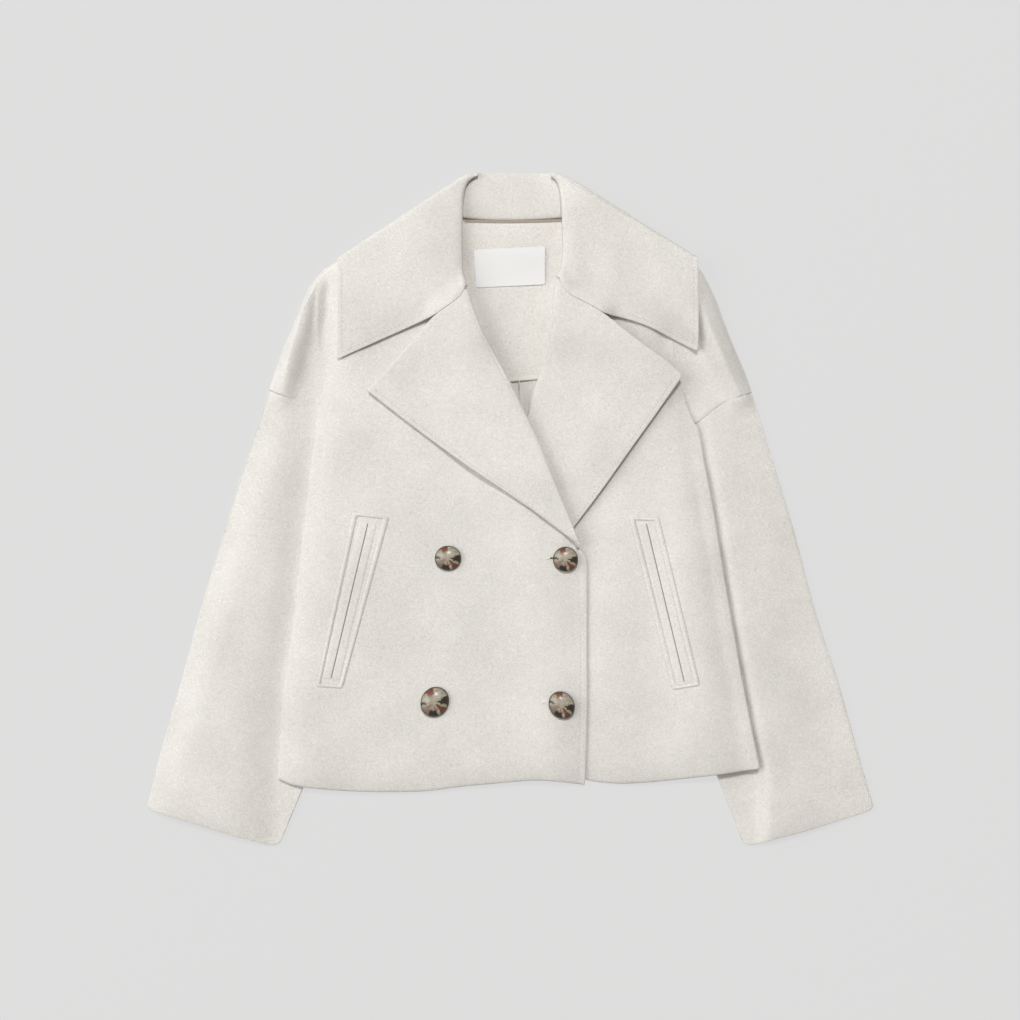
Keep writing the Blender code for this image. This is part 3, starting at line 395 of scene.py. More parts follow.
class CoatColours(bpy.types.PropertyGroup):
    wool: colour_setting("Wool", "Colour of the felted wool", 0.83, 0.81, 0.77)
    # The inside's colour is set lighter than the shell's: partly the cloth's own tone, partly painted light
    # for the shaded neck opening.
    wool_inside: colour_setting("Inside", "Colour of the wool's inner side", 0.86, 0.83, 0.785)
    tape: colour_setting("Tape", "Colour of the seam tapes", 0.86, 0.83, 0.76)
    neck_tape: colour_setting("Neck tape", "Colour of the tape on the neck seam", 0.42, 0.36, 0.30)
    label: colour_setting("Label", "Colour of the blank neck label", 0.93, 0.93, 0.93)
    # The topstitching's colour is darker than the wool's: painted shade of the grooves that the stitches
    # pull into the cloth.
    thread: colour_setting("Thread", "Colour of the topstitching", 0.62, 0.59, 0.545)
    silk: colour_setting("Silk", "Colour of the buttonholes' stitches", 0.95, 0.93, 0.88)
    # The pockets' slits are dark sheets of painted shade, standing for the unlit inside of each pocket.
    pocket: colour_setting("Pocket", "Colour seen in the slits of the pockets", 0.34, 0.30, 0.27)
    # The buttonholes' slits are dark sheets of painted shade.
    shade: colour_setting("Slit", "Colour seen in the slits of the buttonholes", 0.10, 0.085, 0.07)
    horn_light: colour_setting("Horn, light", "Cream streaks of the buttons", 0.47, 0.415, 0.325)
    horn_mauve: colour_setting("Horn, mauve", "Mauve streaks of the buttons", 0.28, 0.205, 0.155)
    horn_dark: colour_setting("Horn, dark", "Dark streaks of the buttons", 0.042, 0.032, 0.020)
    horn_red: colour_setting("Horn, red", "Red-brown streaks of the buttons", 0.19, 0.062, 0.034)
    floor: colour_setting("Floor", "Colour of the surface under the coat", 0.10, 0.10, 0.10)


class StudioSettings(bpy.types.PropertyGroup):
    key: FloatProperty(name="Lamps", description="Strength of the light that both lamps throw on the floor",
                       default=2.37, min=0.0)
    surround: FloatProperty(name="Surround", description="Strength of the even light from all round",
                            default=0.28, min=0.0)
    glow: FloatProperty(name="Glow", description="Light that comes through the floor, as on a light table",
                        default=0.633, min=0.0)
    lens: FloatProperty(name="Lens", description="Focal length of the camera, in millimetres",
                        default=85.0, min=30.0, max=200.0)
    frame_width: length_setting("Frame width", "Width that the picture takes in", 1.0812, 0.5, 10.0)


# ---- plane curves and patches (mm) ----
def smooth_curve(points, samples=12):
    """Points close together on a smooth curve through the given ones."""
    knots = np.array(points, float)
    if len(knots) < 3:
        return knots
    padded = np.vstack([2 * knots[0] - knots[1], knots, 2 * knots[-1] - knots[-2]])
    part = np.linspace(0, 1, samples, endpoint=False)[:, None]
    spans = []
    for before, start, end, after in zip(padded, padded[1:], padded[2:], padded[3:]):
        spans.append(start + 0.5 * part * (end - before
                     + part * (2 * before - 5 * start + 4 * end - after
                               + part * (3 * (start - end) + after - before))))
    return np.vstack(spans + [knots[-1:]])


def lengths_along(points):
    """Distance from the first point to each point of a line."""
    return np.concatenate([[0.0], np.cumsum(np.linalg.norm(np.diff(points, axis=0), axis=1))])


def shares(points):
    """The same distances, as parts of the whole."""
    lengths = lengths_along(points)
    return lengths / lengths[-1]


def resampled(points, fractions):
    """Points at the given fractions of a line's length."""
    length = lengths_along(points)
    wanted = np.asarray(fractions) * length[-1]
    return np.column_stack([np.interp(wanted, length, axis) for axis in np.asarray(points, float).T])


def along(points, fractions):
    """Points at the given fractions of a smooth curve's length."""
    return resampled(smooth_curve(points), fractions)


def evenly(points, count):
    """count + 1 points at even spacing along a smooth curve."""
    return along(points, np.linspace(0, 1, count + 1))


def spaced(points, step, start=(), end=()):
    """Fractions of a line's length: about step apart, with closer ones given from either end."""
    length = lengths_along(smooth_curve(points))[-1]
    first = start[-1] if start else 0.0
    last = length - (end[-1] if end else 0.0)
    inner = np.linspace(first, last, max(1, round((last - first) / step)) + 1)
    near = np.array((0.0,) + tuple(start[:-1]) if start else ())
    far = length - np.array((0.0,) + tuple(end[:-1]) if end else ())
    return np.concatenate([near, inner, far[::-1]]) / length


def joined(*lines):
    """Lines that meet end to end, as one."""
    return np.vstack([lines[0]] + [line[1:] for line in lines[1:]])


def plan_normals(points):
    """Unit normals in plan, to the left of the way the line runs."""
    tangent = np.gradient(np.asarray(points, float)[:, :2], axis=0)
    normal = np.column_stack([-tangent[:, 1], tangent[:, 0]])
    return normal / np.maximum(np.linalg.norm(normal, axis=1), 1e-9)[:, None]


def moved_left(points, distance):
    """A line moved sideways in plan, to the left of the way it runs."""
    dense = smooth_curve(points, 4)
    return dense + plan_normals(dense) * distance


def patch(first, last, start, end):
    """A four-sided plan patch: rows run from first to last, columns from start to end."""
    u = (shares(first) + shares(last))[None, :, None] / 2
    v = (shares(start) + shares(end))[:, None, None] / 2
    edges = (1 - v) * first[None] + v * last[None] + (1 - u) * start[:, None] + u * end[:, None]
    corners = ((1 - u) * (1 - v) * first[0] + u * (1 - v) * first[-1]
               + (1 - u) * v * last[0] + u * v * last[-1])
    return edges - corners


def ruled(start, end, columns):
    """A patch of straight rows between two lines with the same number of points."""
    part = np.linspace(0, 1, columns + 1)[None, :, None]
    return start[:, None] * (1 - part) + end[:, None] * part


def rolled(low, high, outward, bulge, steps=FOLD_STEPS):
    """Rows that carry a sheet's edge round from low to high in a half ellipse."""
    angle = np.radians(np.linspace(-90, 90, steps + 1))[None, :, None]
    lift = (1 + np.sin(angle)) / 2
    rows = low[:, None] * (1 - lift) + high[:, None] * lift
    rows[..., :2] += np.cos(angle) * np.reshape(bulge, (-1, 1, 1)) * outward[:, None]
    return rows


def pinched(point, count):
    """A patch's edge drawn together at one point."""
    return np.tile(point, (count, 1)) + np.linspace(0, 0.004, count)[:, None]


def at_height(plan, z):
    """A plan grid raised to the given heights."""
    return np.dstack([plan[..., 0], plan[..., 1], np.broadcast_to(z, plan.shape[:2])])


def beside(points, line):
    """The nearest point of a line to each point in plan, and how far away it is."""
    gaps = np.linalg.norm(points[:, None, :2] - line[None, :, :2], axis=-1)
    return line[gaps.argmin(1)], gaps.min(1)


def rounded_corner(grid, last_row, last_column, radius):
    """Round one corner of a grid in plan."""
    turned = grid[::-1] if last_row else grid
    turned = turned[:, ::-1] if last_column else turned
    across, _, down, _ = edge_distances(turned)
    corner = turned[0, 0, :2]
    along_row = turned[0, 3, :2] - corner
    along_column = turned[3, 0, :2] - corner
    along_row /= np.linalg.norm(along_row)
    along_column /= np.linalg.norm(along_column)
    a, b = radius - across, radius - down
    near = (a > 0) & (b > 0)
    share = np.where(near, np.maximum(a, b) / np.maximum(np.hypot(a, b), 1e-6), 1.0)
    turned[..., :2] += ((a - a * share) * near)[..., None] * along_row
    turned[..., :2] += ((b - b * share) * near)[..., None] * along_column
    return grid


def edge_distances(plan):
    """Distances from the first and last column, and from the first and last row."""
    across = np.linalg.norm(np.diff(plan[..., :2], axis=1), axis=-1)
    down = np.linalg.norm(np.diff(plan[..., :2], axis=0), axis=-1)
    across = np.pad(np.cumsum(across, 1), ((0, 0), (1, 0)))
    down = np.pad(np.cumsum(down, 0), ((1, 0), (0, 0)))
    return across, across[:, -1:] - across, down, down[-1:] - down


def rise(distance, reach):
    """0 at an edge and 1 well inside it."""
    return 1 - np.exp(-distance / reach)


def bell(distance, width):
    """1 and level at a line, and 0 well away from it."""
    return np.exp(-(distance / width) ** 2)


def dome(distance, reach):
    """0 and level at an edge, and 1 well inside it."""
    return 1 - bell(distance, reach)


def well_inside(distances, reaches):
    """0 at each of a patch's edges, and 1 well inside it."""
    return math.prod(rise(distance, reach) for distance, reach in zip(distances, reaches))


def seam_roll(distance, width, height, groove):
    """An edge's seam allowance under the cloth, with the topstitch's groove along it."""
    ridge = np.clip(np.sin(np.pi * np.clip(distance / width, 0, 1)), 0, 1) ** 0.6 * height
    return ridge - groove * bell(distance - width, 0.9)


def folds(name, plan):
    """Height of the listed folds on a piece."""
    height = np.zeros(plan.shape[:2])
    points = plan[..., :2].reshape(-1, 2)
    for line, flanks, depth in FOLDS[name]:
        dense = evenly(line, 40)
        gaps = np.linalg.norm(points[:, None] - dense[None], axis=-1)
        nearest = gaps.argmin(1)
        left = ((points - dense[nearest]) * plan_normals(dense)[nearest]).sum(1) > 0
        width = np.where(left, flanks[0], flanks[-1])
        taper = np.sin(np.pi * np.clip(nearest / 40, 0.02, 0.98)) ** 0.7
        height += (depth * bell(gaps.min(1), width) * taper).reshape(height.shape)
    return height


def unevenness(plan, size=0.35):
    """The slight unevenness of soft cloth that lies on a table."""
    x, y = plan[..., 0] / 61.0, plan[..., 1] / 73.0
    return size * (np.sin(2.1 * x + 1.3 * np.sin(1.7 * y + 0.4)) * np.cos(1.6 * y - 0.9 * x)
                   + 0.5 * np.sin(4.3 * x - 2.2 * y + 1.1) * np.sin(3.1 * y + 0.7))


def shoulder_crest(plan):
    """Height of the soft crest along the shoulder seam, from below the collar to the armhole."""
    below_top = np.clip((CREST_TOP - plan[..., 1]) / 30.0, 0, 1)
    above_foot = np.clip((plan[..., 1] - CREST_FOOT) / 36.0, 0, 1)
    return SHOULDER_CREST * below_top * (0.35 + 0.65 * above_foot)


def top_line(side):
    """A lapel's upper edge: the gorge seam to the notch, then the free edge to the peak."""
    return joined(smooth_curve(side["gorge"]), smooth_curve(side["lapel_top"]))


# ---- laying cloth on cloth ----
def box_filter(height, cells, reduce):
    """A raster with each cell made from the square of cells around it."""
    for axis in (0, 1):
        pad = [(cells, cells) if k == axis else (0, 0) for k in (0, 1)]
        wide = np.pad(height, pad, mode="edge")
        height = reduce(np.lib.stride_tricks.sliding_window_view(wide, 2 * cells + 1, axis=axis), -1)
    return height


def widened(height, cells):
    """The highest value within a square around each cell."""
    return box_filter(height, cells, np.max) if cells else height


def blurred(height, cells):
    """The mean value over a square around each cell."""
    return box_filter(height, cells, np.mean) if cells else height


def refined(grid, spacing=1.3):
    """A grid cut finer in straight lines."""
    for axis in (0, 1):
        widest = np.linalg.norm(np.diff(grid[..., :2], axis=axis), axis=-1).max()
        parts = max(1, math.ceil(widest / spacing))
        count = grid.shape[axis]
        place = np.linspace(0, count - 1, (count - 1) * parts + 1)
        low = np.minimum(place.astype(int), count - 2)
        share = (place - low).reshape((-1, 1, 1) if axis == 0 else (1, -1, 1))
        grid = np.take(grid, low, axis) * (1 - share) + np.take(grid, low + 1, axis) * share
    return grid


class Table:
    """The table with the layers laid so far, as a raster of heights."""

    def __init__(self, height=None):
        rows = int(2 * TABLE_HALF_LENGTH / CELL) + 1
        columns = int(2 * TABLE_HALF_WIDTH / CELL) + 1
        self.height = np.zeros((rows, columns)) if height is None else height.copy()

    def place(self, points):
        """Raster rows and columns of points, as real numbers."""
        return (points[..., 1] + TABLE_HALF_LENGTH) / CELL, (points[..., 0] + TABLE_HALF_WIDTH) / CELL

    def read(self, height, points):
        """Heights at points, between the cells."""
        row, column = self.place(points)
        low_row, low_column = row.astype(int), column.astype(int)
        r, c = row - low_row, column - low_column
        return ((1 - r) * (1 - c) * height[low_row, low_column]
                + r * (1 - c) * height[low_row + 1, low_column]
                + (1 - r) * c * height[low_row, low_column + 1]
                + r * c * height[low_row + 1, low_column + 1])

    def cover(self, reach):
        """The smooth surface of a sheet that spans hollows narrower than reach."""
        cells = max(3, round(reach / CELL))
        third = max(1, cells // 3)
        height = widened(self.height, cells)
        for blur in (third, third, max(0, cells - 2 * third)):
            height = blurred(height, blur)
        return height

    def lay(self, plan, thickness, reach, lift=0.0, close=None):
        """Lay a sheet on what is there, raised by lift off the bare table; close is 1 where it clings."""
        cover = self.read(self.cover(reach), plan)
        if close is not None:
            cover += (self.read(self.cover(CLOSE_REACH), plan) - cover) * close
        z = cover + thickness / 2 + (SEAM_GAP + lift) * np.clip(cover, 0, 1)
        return at_height(plan, z)

    def press(self, grid, thickness):
        """Add a laid sheet to the layers that later ones lie on."""
        fine = refined(grid)
        row, column = self.place(fine)
        cells = (np.rint(row).astype(int), np.rint(column).astype(int))
        np.maximum.at(self.height, cells, fine[..., 2] + thickness / 2)


# ---- the pieces' middle surfaces, in the order they are laid (mm) ----
class Coat:
    """Every piece of the coat as grids of points, laid out one on another."""

    def __init__(self, cloth, collar_cloth, fullness):
        self.cloth = cloth
        self.collar_cloth = collar_cloth
        self.fullness = fullness
        self.bulge = (cloth + FOLD_AIR) / 2
        self.outside = self.bulge + cloth / 2
        self.roll_outside = self.outside + SEAM_GAP + cloth
        self.table = Table()
        self.grids = {}
        self.lines = {}
        self.lay_out()

    def lay_out(self):
        table = self.table
        collar, behind = self.collar_behind()
        self.shoulder_table = Table(table.height)
        for name, side in SIDES.items():
            self.grids[f"sleeve_{name}"] = self.sleeve(name, side)
        backs = {name: self.back_half(side) for name, side in SIDES.items()}
        returns = {name: self.side_return(side) for name, side in SIDES.items()}
        shoulders, edges = {}, {}
        for name, side in SIDES.items():
            shoulders[name] = self.back_shoulder(side, backs[name])
            edges[name] = joined(backs[name][0, NECK_COLUMNS:], shoulders[name][:, -1])
            for grid in (backs[name], returns[name], shoulders[name]):
                table.press(grid, self.cloth)
        for name in SIDES:
            self.shoulder_table.press(backs[name], self.cloth)
            self.shoulder_table.press(shoulders[name], self.cloth)
        self.inside()
        for name, side in SIDES.items():
            wrap = self.shoulder_wrap(side, edges[name])
            self.grids[f"back_{name}"] = [backs[name], shoulders[name]] + wrap
        for name in ("left", "right"):
            side = SIDES[name]
            grids, roll_line = self.front(name, side, returns[name])
            collar += self.leaf(name, side, behind[name])
            turned, facing = self.lapel(name, side, roll_line)
            self.grids[f"front_{name}"] = grids + turned
            self.grids[f"lapel_facing_{name}"] = facing
            top, stand = self.lines[f"leaf_{name}"], self.lines[f"stand_{name}"]
            outward = plan_normals(top[:, -1]) * -side["side"]
            bulge = ROLL_BULGE * (0.25 + 0.75 * rise(lengths_along(top[:, -1]), 9.0))
            collar.append(rolled(stand[:, 0], top[:, -1], outward, bulge))
        self.grids["collar"] = collar
        for name in SIDES:
            self.close_armhole(name)

    def collar_behind(self):
        """The fall behind the neck, on the table, and the stand before it."""
        thick = self.collar_cloth
        inset = COLLAR_BULGE + thick / 2
        ends = {name: np.array(side["leaf_roll"][-1], float) for name, side in SIDES.items()}
        self.leaf_fractions, leaves = {}, {}
        for name, side in SIDES.items():
            run = [side["leaf_front"][0], side["leaf_roll"][0]]
            columns = spaced(run, CHEST_STEP, EDGE_DETAIL, END_DETAIL)
            self.leaf_fractions[name] = columns
            tip, knee = np.array(side["leaf_tip"], float), np.array(side["leaf_knee"], float)
            line = moved_left([tip, (tip + knee) / 2, knee], side["side"] * inset)
            bend = evenly([line[-1], side["leaf_bend"], ends[name]], 12)
            leaves[name] = resampled(np.vstack([line[:-1], bend]), columns)
        middle = ruled(ends["right"][None], ends["left"][None], STAND_COLUMNS)[0]
        upper = joined(leaves["right"], middle, leaves["left"][::-1])
        lower = along(COLLAR_STYLE_EDGE, shares(upper))
        lower[0], lower[-1] = upper[0], upper[-1]
        fall = at_height(ruled(upper, lower, 16), thick / 2)
        self.table.press(fall, thick)
        first = len(leaves["right"]) - 1
        fold_line = fall[first:first + STAND_COLUMNS + 1, 0]
        right_end, left_end = np.array(STAND_ENDS)[:, None]
        under_right = ruled(right_end, fold_line[:1, :2], 4)[0][:-1]
        under_left = ruled(fold_line[-1:, :2], left_end, 4)[0][1:]
        upper_edge = np.vstack([under_right, fold_line[:, :2], under_left])
        stand_plan = ruled(upper_edge, along(STAND_SEAM, shares(upper_edge)), 12)
        stand = self.table.lay(stand_plan, thick, 10.0, FOLD_LIFT)
        from_top, from_seam, _, _ = edge_distances(stand_plan)
        stand[..., 2] += STAND_FULLNESS * rise(from_seam, 5.0) * rise(from_top, 8.0)
        self.table.press(stand, thick)
        up = np.tile([0.0, 1.0], (len(fold_line), 1))
        turn = rolled(fold_line, stand[4:-4, 0], up, (thick + FOLD_AIR) / 2)
        behind = {"right": fall[:first + 1, 0], "left": fall[::-1][:len(leaves["left"]), 0]}
        return [fall, stand, turn], behind

    def sleeve(self, name, side):
        """A flattened tube from the armhole to the cuff."""
        mirror = side["side"]
        rows = spaced(side["sleeve_outer"], 6.0, SEAM_DETAIL, EDGE_DETAIL)
        outer = along(moved_left(side["sleeve_outer"], -mirror * self.outside), rows)
        inner = along(moved_left(side["sleeve_inner"], mirror * self.outside), rows)
        seam = joined(np.array(side["armhole"][:4], float), smooth_curve(side["armhole"][3:]))
        columns = spaced(seam, 6.5, END_DETAIL, END_DETAIL)
        head = resampled(seam, columns)
        cuff = along(side["cuff"], columns)
        head[0], head[-1] = outer[0], inner[0]
        cuff[0], cuff[-1] = outer[-1], inner[-1]
        plan = patch(head, cuff, outer, inner)
        from_outer, from_inner, from_head, from_cuff = edge_distances(plan)
        filled = np.clip(from_head / CROWN_RISE, 0, 1)
        fold = smooth_curve(side["side_fold"])[::-1]
        fold_x = np.interp(plan[..., 1], fold[:, 1], fold[:, 0])
        from_body = np.maximum((plan[..., 0] - fold_x) * mirror + 1.0, 0)
        outer_reach, body_reach = side["sleeve_crest"]
        shape = dome(from_outer, outer_reach) * dome(from_body, body_reach) * rise(from_inner, 12.0)
        crown = SLEEVE_CROWN * shape * (0.35 + 0.65 * filled)
        crown = crown * (0.55 + 0.45 * rise(from_cuff, 14.0))
        bottom = self.cloth / 2
        creases = folds(f"sleeve_{name}", plan) * rise(from_head, 20) * rise(from_outer, 12)
        relief = np.maximum(crown + creases + unevenness(plan) * rise(from_outer, 15), 0)
        top = at_height(plan, bottom + self.cloth + FOLD_AIR + relief)
        under = at_height(plan, bottom)
        outer_turn = rolled(under[:, 0], top[:, 0], plan_normals(outer) * mirror, self.bulge)
        inner_turn = rolled(under[:, -1], top[:, -1], plan_normals(inner) * -mirror, self.bulge)
        self.table.press(top, self.cloth)
        return [under, outer_turn, top, inner_turn]

    def close_armhole(self, name):
        """Raise the sleeve's head along the armhole seam, so that it meets the shoulder's pieces."""
        _, outer_turn, top, _ = self.grids[f"sleeve_{name}"]
        chest, shoulder = self.grids[f"front_{name}"][:2]
        strip = self.grids[f"back_{name}"][2]
        edge = strip[:, -1]
        nearest, _ = beside(edge, np.vstack([shoulder[:, -1], chest[0]]))
        lower = np.maximum(nearest[:, 2] - edge[:, 2], 0) * np.clip((STRIP_SEWN_FROM - edge[:, 1]) / 8, 0, 1)
        from_fold = edge_distances(strip)[0]
        strip[..., 2] += lower[:, None] * (from_fold / from_fold[:, -1:]) ** 0.6
        for grid, reach in ((shoulder, 5.0), (strip, 3.0)):
            nearest, _ = beside(grid[-1], top[0])
            lower = np.maximum(nearest[:, 2] - grid[-1, :, 2], 0)
            from_inner, _, _, from_armhole = edge_distances(grid)
            near_seam = np.linalg.norm(grid[..., :2] - shoulder[-1, -1, :2], axis=-1)
            over = bell(near_seam, 12.0) * np.clip(from_inner / 6.0, 0, 1)
            grid[..., 1:] += over[..., None] * SEAM_END_SHIFT
            grid[..., 2] += lower[None] * bell(from_armhole, ARMHOLE_SPREAD) * dome(from_inner, reach)
        head = top[0]
        nearest, gap = beside(head, np.vstack([shoulder[-1], strip[-1]]))
        raised = np.maximum(nearest[:, 2] - head[:, 2], 0) * bell(gap, SEAM_SPREAD)
        top[..., 2] += raised[None] * bell(edge_distances(top)[2], ARMHOLE_SPREAD)
        share = np.linspace(0, 1, outer_turn.shape[1])
        outer_turn[..., 2] += (top[:, 0, 2] - outer_turn[:, -1, 2])[:, None] * share

    def armhole_edge(self, side, start, end, fractions):
        """The edge that panels share with a sleeve's head, a seam's gap above it."""
        head = np.array(side["armhole"][1:4], float)[::-1] + (0, SEAM_OVERLAP)
        mirror = side["side"]
        between = [p for p in head if start[0] * mirror < p[0] * mirror < end[0] * mirror - 2]
        return resampled(np.vstack([start] + between + [end]), fractions)

    def outer_line(self, side):
        """A front's outer edge: down its shoulder part, over the armhole and along the side fold."""
        lines = [np.array(side[key], float) for key in ("shoulder_fall", "side_over_armhole", "side_fold")]
        for line in lines[1:]:
            line[1:, 0] -= side["side"] * self.outside
        lines[2][0] = lines[1][-1]
        return joined(*[evenly(line, rows) for line, rows in zip(lines, OUTER_ROWS)])

    def back_shoulder(self, side, main):
        """The outer part of a back half, on the bare table."""
        rows = OUTER_ROWS[0]
        fall = main[:rows + 1, -1]
        edge = evenly(moved_left(side["shoulder_edge"], side["side"] * -self.outside), rows)
        edge[0] = fall[0, :2]
        armhole = self.armhole_edge(side, fall[-1, :2], edge[-1], np.linspace(0, 1, 11))
        plan = patch(pinched(fall[0, :2], len(armhole)), armhole, fall[:, :2], edge)
        grid = self.shoulder_table.lay(plan, self.cloth, 6.0)
        share = np.clip(edge_distances(grid)[0] / 14.0, 0, 1)[..., None]
        grid = grid * (1 - (1 - share) * (0, 0, 1)) + (1 - share) * (0, 0, 1) * fall[:, None]
        grid[0] = fall[0]
        return grid

    def back_half(self, side):
        """Half of the back, over the sleeve and the collar's fall."""
        mirror = side["side"]
        seam = self.outer_line(side)[FOLD_START:] - (mirror * (SIDE_RETURN + SEAM_OVERLAP), 0)
        fall = np.array(side["back_fall"], float)
        fall[-1] = seam[0]
        outer = joined(evenly(fall, OUTER_ROWS[0]), seam)
        centre = along(CENTRE_BACK, shares(outer)) + (mirror * SEAM_OVERLAP / 2, 0)
        fold = moved_left(side["shoulder_fold"], mirror * -self.outside)
        neck = evenly(side["neck"], NECK_COLUMNS)
        neck[0], neck[-1] = centre[0], fold[0]
        slope = evenly(fold, 4 * GRAIN)
        slope[-1] = outer[0]
        top = joined(neck, slope)
        share = shares(top)[:, None]
        hem = centre[-1] * (1 - share) + outer[-1] * share
        plan = patch(top, hem, centre, outer)
        return self.table.lay(plan, self.cloth, BACK_REACH, 0.0, bell(edge_distances(plan)[1], SIDE_CLING))

    def side_return(self, side):
        """Cloth that turns under at the side fold, level with the back."""
        edge = self.outer_line(side)[FOLD_START:]
        plan = ruled(edge, edge - (side["side"] * SIDE_RETURN, 0), 4)
        return self.table.lay(plan, self.cloth, BACK_REACH, 0.0, bell(edge_distances(plan)[0], SIDE_CLING))

    def shoulder_wrap(self, side, wrap_edge):
        """The strip of the back that shows on the front side of the shoulder."""
        mirror = side["side"]
        seam = joined(smooth_curve(side["seam_under_collar"]), smooth_curve(side["shoulder_seam"]))
        seam = resampled(moved_left(seam, mirror * SEAM_OVERLAP), shares(wrap_edge[:, :2]))
        seam[-1] += (0, SEAM_OVERLAP)
        strip_plan = ruled(wrap_edge[:, :2], seam, 6)
        strip = self.shoulder_table.lay(strip_plan, self.cloth, SHOULDER_REACH, FOLD_LIFT)
        strip[..., 2] += shoulder_crest(strip) * np.linspace(0, 1, 7)[None] ** 0.7
        self.table.press(strip, self.cloth)
        self.shoulder_table.press(strip, self.cloth)
        return [strip, rolled(wrap_edge, strip[:, 0], plan_normals(wrap_edge) * mirror, self.bulge)]

    def inside(self):
        """What shows in the neck opening: facing, tapes and blank label."""
        table = self.table
        edges = [evenly(line, steps) for line, steps in zip(FACING_EDGES, (24, 24, 32, 32))]
        facing = table.lay(patch(*edges), FACING_CLOTH, 10.0)
        facing[..., 2] += np.maximum(unevenness(facing, 0.3), 0)
        table.press(facing, FACING_CLOTH)
        self.grids["back_facing"] = [facing]
        for name, line, width, _ in TAPES:
            middle = evenly(line, 36)
            sides = plan_normals(middle) * width / 2
            grid = table.lay(ruled(middle - sides, middle + sides, 4), TAPE_CLOTH, 6.0)
            table.press(grid, TAPE_CLOTH)
            self.grids[name] = [grid]
        top, bottom = np.array(LABEL_EDGES)
        columns = spaced(top, 3.0, LABEL_DETAIL, LABEL_DETAIL)
        rows = spaced([top[0], bottom[0]], 3.0, LABEL_DETAIL, LABEL_DETAIL)[:, None, None]
        plan = resampled(top, columns)[None] * (1 - rows) + resampled(bottom, columns)[None] * rows
        label = table.lay(plan, LABEL_CLOTH, 6.0)
        for corner in ((False, False), (False, True), (True, False), (True, True)):
            rounded_corner(label, *corner, 2.4)
        label[..., 2] += 0.25 + 0.2 * np.sin(label[..., 0] / 13.0)
        table.press(label, LABEL_CLOTH)
        self.grids["neck_label"] = [label]

    def front_shoulder(self, side, outer, tuck):
        """A front's part on the shoulder, tucked under the side fold at its lower end."""
        first = OUTER_ROWS[0]
        inner = outer[:FOLD_START + 1].copy()
        inner[first:, 0] -= side["side"] * FOLD_TUCK * tuck
        seam = along(side["shoulder_seam"], shares(inner))
        seam[0] = inner[0]
        across = spaced([inner[-1], seam[-1]], 6.0, (3.0,), SEAM_DETAIL)
        bottom = self.armhole_edge(side, inner[-1], seam[-1], across)
        plan = patch(pinched(inner[0], len(bottom)), bottom, inner, seam)
        shoulder = self.shoulder_table.lay(plan, self.cloth, SHOULDER_REACH, FOLD_LIFT)
        self.table.press(shoulder[:, 2:], self.cloth)
        self.table.press(shoulder[first + 1:], self.cloth)
        return shoulder

    def chest(self, name, side, outer):
        """A front's chest and skirt."""
        roll = moved_left(side["roll"], side["side"] * self.roll_outside)
        neckline = np.array(side["neckline"], float)
        neckline[-1] = roll[0]
        lines = (neckline, roll, np.vstack([roll[-1], side["front_edge"]]))
        centre = joined(*[evenly(line, rows) for line, rows in zip(lines, CENTRE_ROWS)])
        columns = spaced(side["hem"], CHEST_STEP, (3.0, 7.0), EDGE_DETAIL)
        top = along(side["seam_under_collar"][::-1], columns)
        hem = along(side["hem"], columns)
        top[0], top[-1] = outer[0], centre[0]
        hem[0], hem[-1] = outer[-1], centre[-1]
        plan = patch(top, hem, outer, centre)
        from_fold, from_centre, from_top, from_hem = edge_distances(plan)
        below_break = np.arange(len(plan))[:, None] - BREAK_ROW
        close = (0.5 + 0.5 * np.clip(below_break / (2 * GRAIN), 0, 1)) * bell(from_centre, 30.0)
        close = np.maximum(close, bell(from_fold, FOLD_CLING))
        chest = self.table.lay(plan, self.cloth, FRONT_REACH, 0.0, close)
        inside = well_inside((from_fold, from_centre, from_hem, from_top),
                             (side["fold_reach"], side["centre_reach"], 14.0, 30.0))
        relief = self.fullness * inside + folds(f"front_{name}", plan) * inside + unevenness(plan) * inside
        relief += np.where(below_break > 0, seam_roll(from_centre, 7.0, 0.2, 0.15), 0)
        turned_up = HEM_RELIEF * (from_hem < HEM_DEPTH) - HEM_RELIEF * bell(from_hem - HEM_DEPTH, 4.0)
        chest[..., 2] += np.maximum(relief + turned_up * inside, 0)
        self.table.press(chest, self.cloth)
        return chest

    def front(self, name, side, returned):
        """A front: chest and skirt, its shoulder part and its side fold."""
        mirror = side["side"]
        first = OUTER_ROWS[0]
        outer = self.outer_line(side)
        tuck = np.linspace(0, 1, OUTER_ROWS[1] + 1)
        shoulder = self.front_shoulder(side, outer, tuck)
        chest = self.chest(name, side, outer)
        shoulder[:first + 1, 0] = chest[:first + 1, 0]
        blend = dome(edge_distances(shoulder)[0], 7.0)[:first + 1, :, None]
        raised = shoulder[:first + 1] * (1, 1, 0) + chest[:first + 1, :1] * (0, 0, 1)
        shoulder[:first + 1] = shoulder[:first + 1] * blend + raised * (1 - blend)
        shoulder[0] = chest[0, 0]
        drop = (chest[first + 1:FOLD_START + 1, 0, 2] - shoulder[first + 1:, 0, 2]) * (1 - tuck[1:]) ** 1.5
        shoulder[first + 1:, :, 2] += drop[:, None] * bell(edge_distances(shoulder)[0][first + 1:], 8.0)
        from_inner, from_seam, _, _ = edge_distances(shoulder)
        shoulder[..., 2] += shoulder_crest(shoulder) * bell(from_seam, 20.0) * dome(from_inner, 6.0)
        self.table.press(shoulder[1:], self.cloth)
        fold = chest[FOLD_START:, 0]
        turn = rolled(returned[:, 0], fold, plan_normals(fold) * mirror, self.bulge)
        edge = chest[first:FOLD_START + 1, 0]
        tucked = rolled(shoulder[first:, 0], edge, plan_normals(edge) * mirror, self.bulge * tuck)
        self.lines[f"front_{name}"] = chest
        return [chest, shoulder, returned, turn, tucked], chest[CENTRE_ROWS[0]:BREAK_ROW + 1, -1]

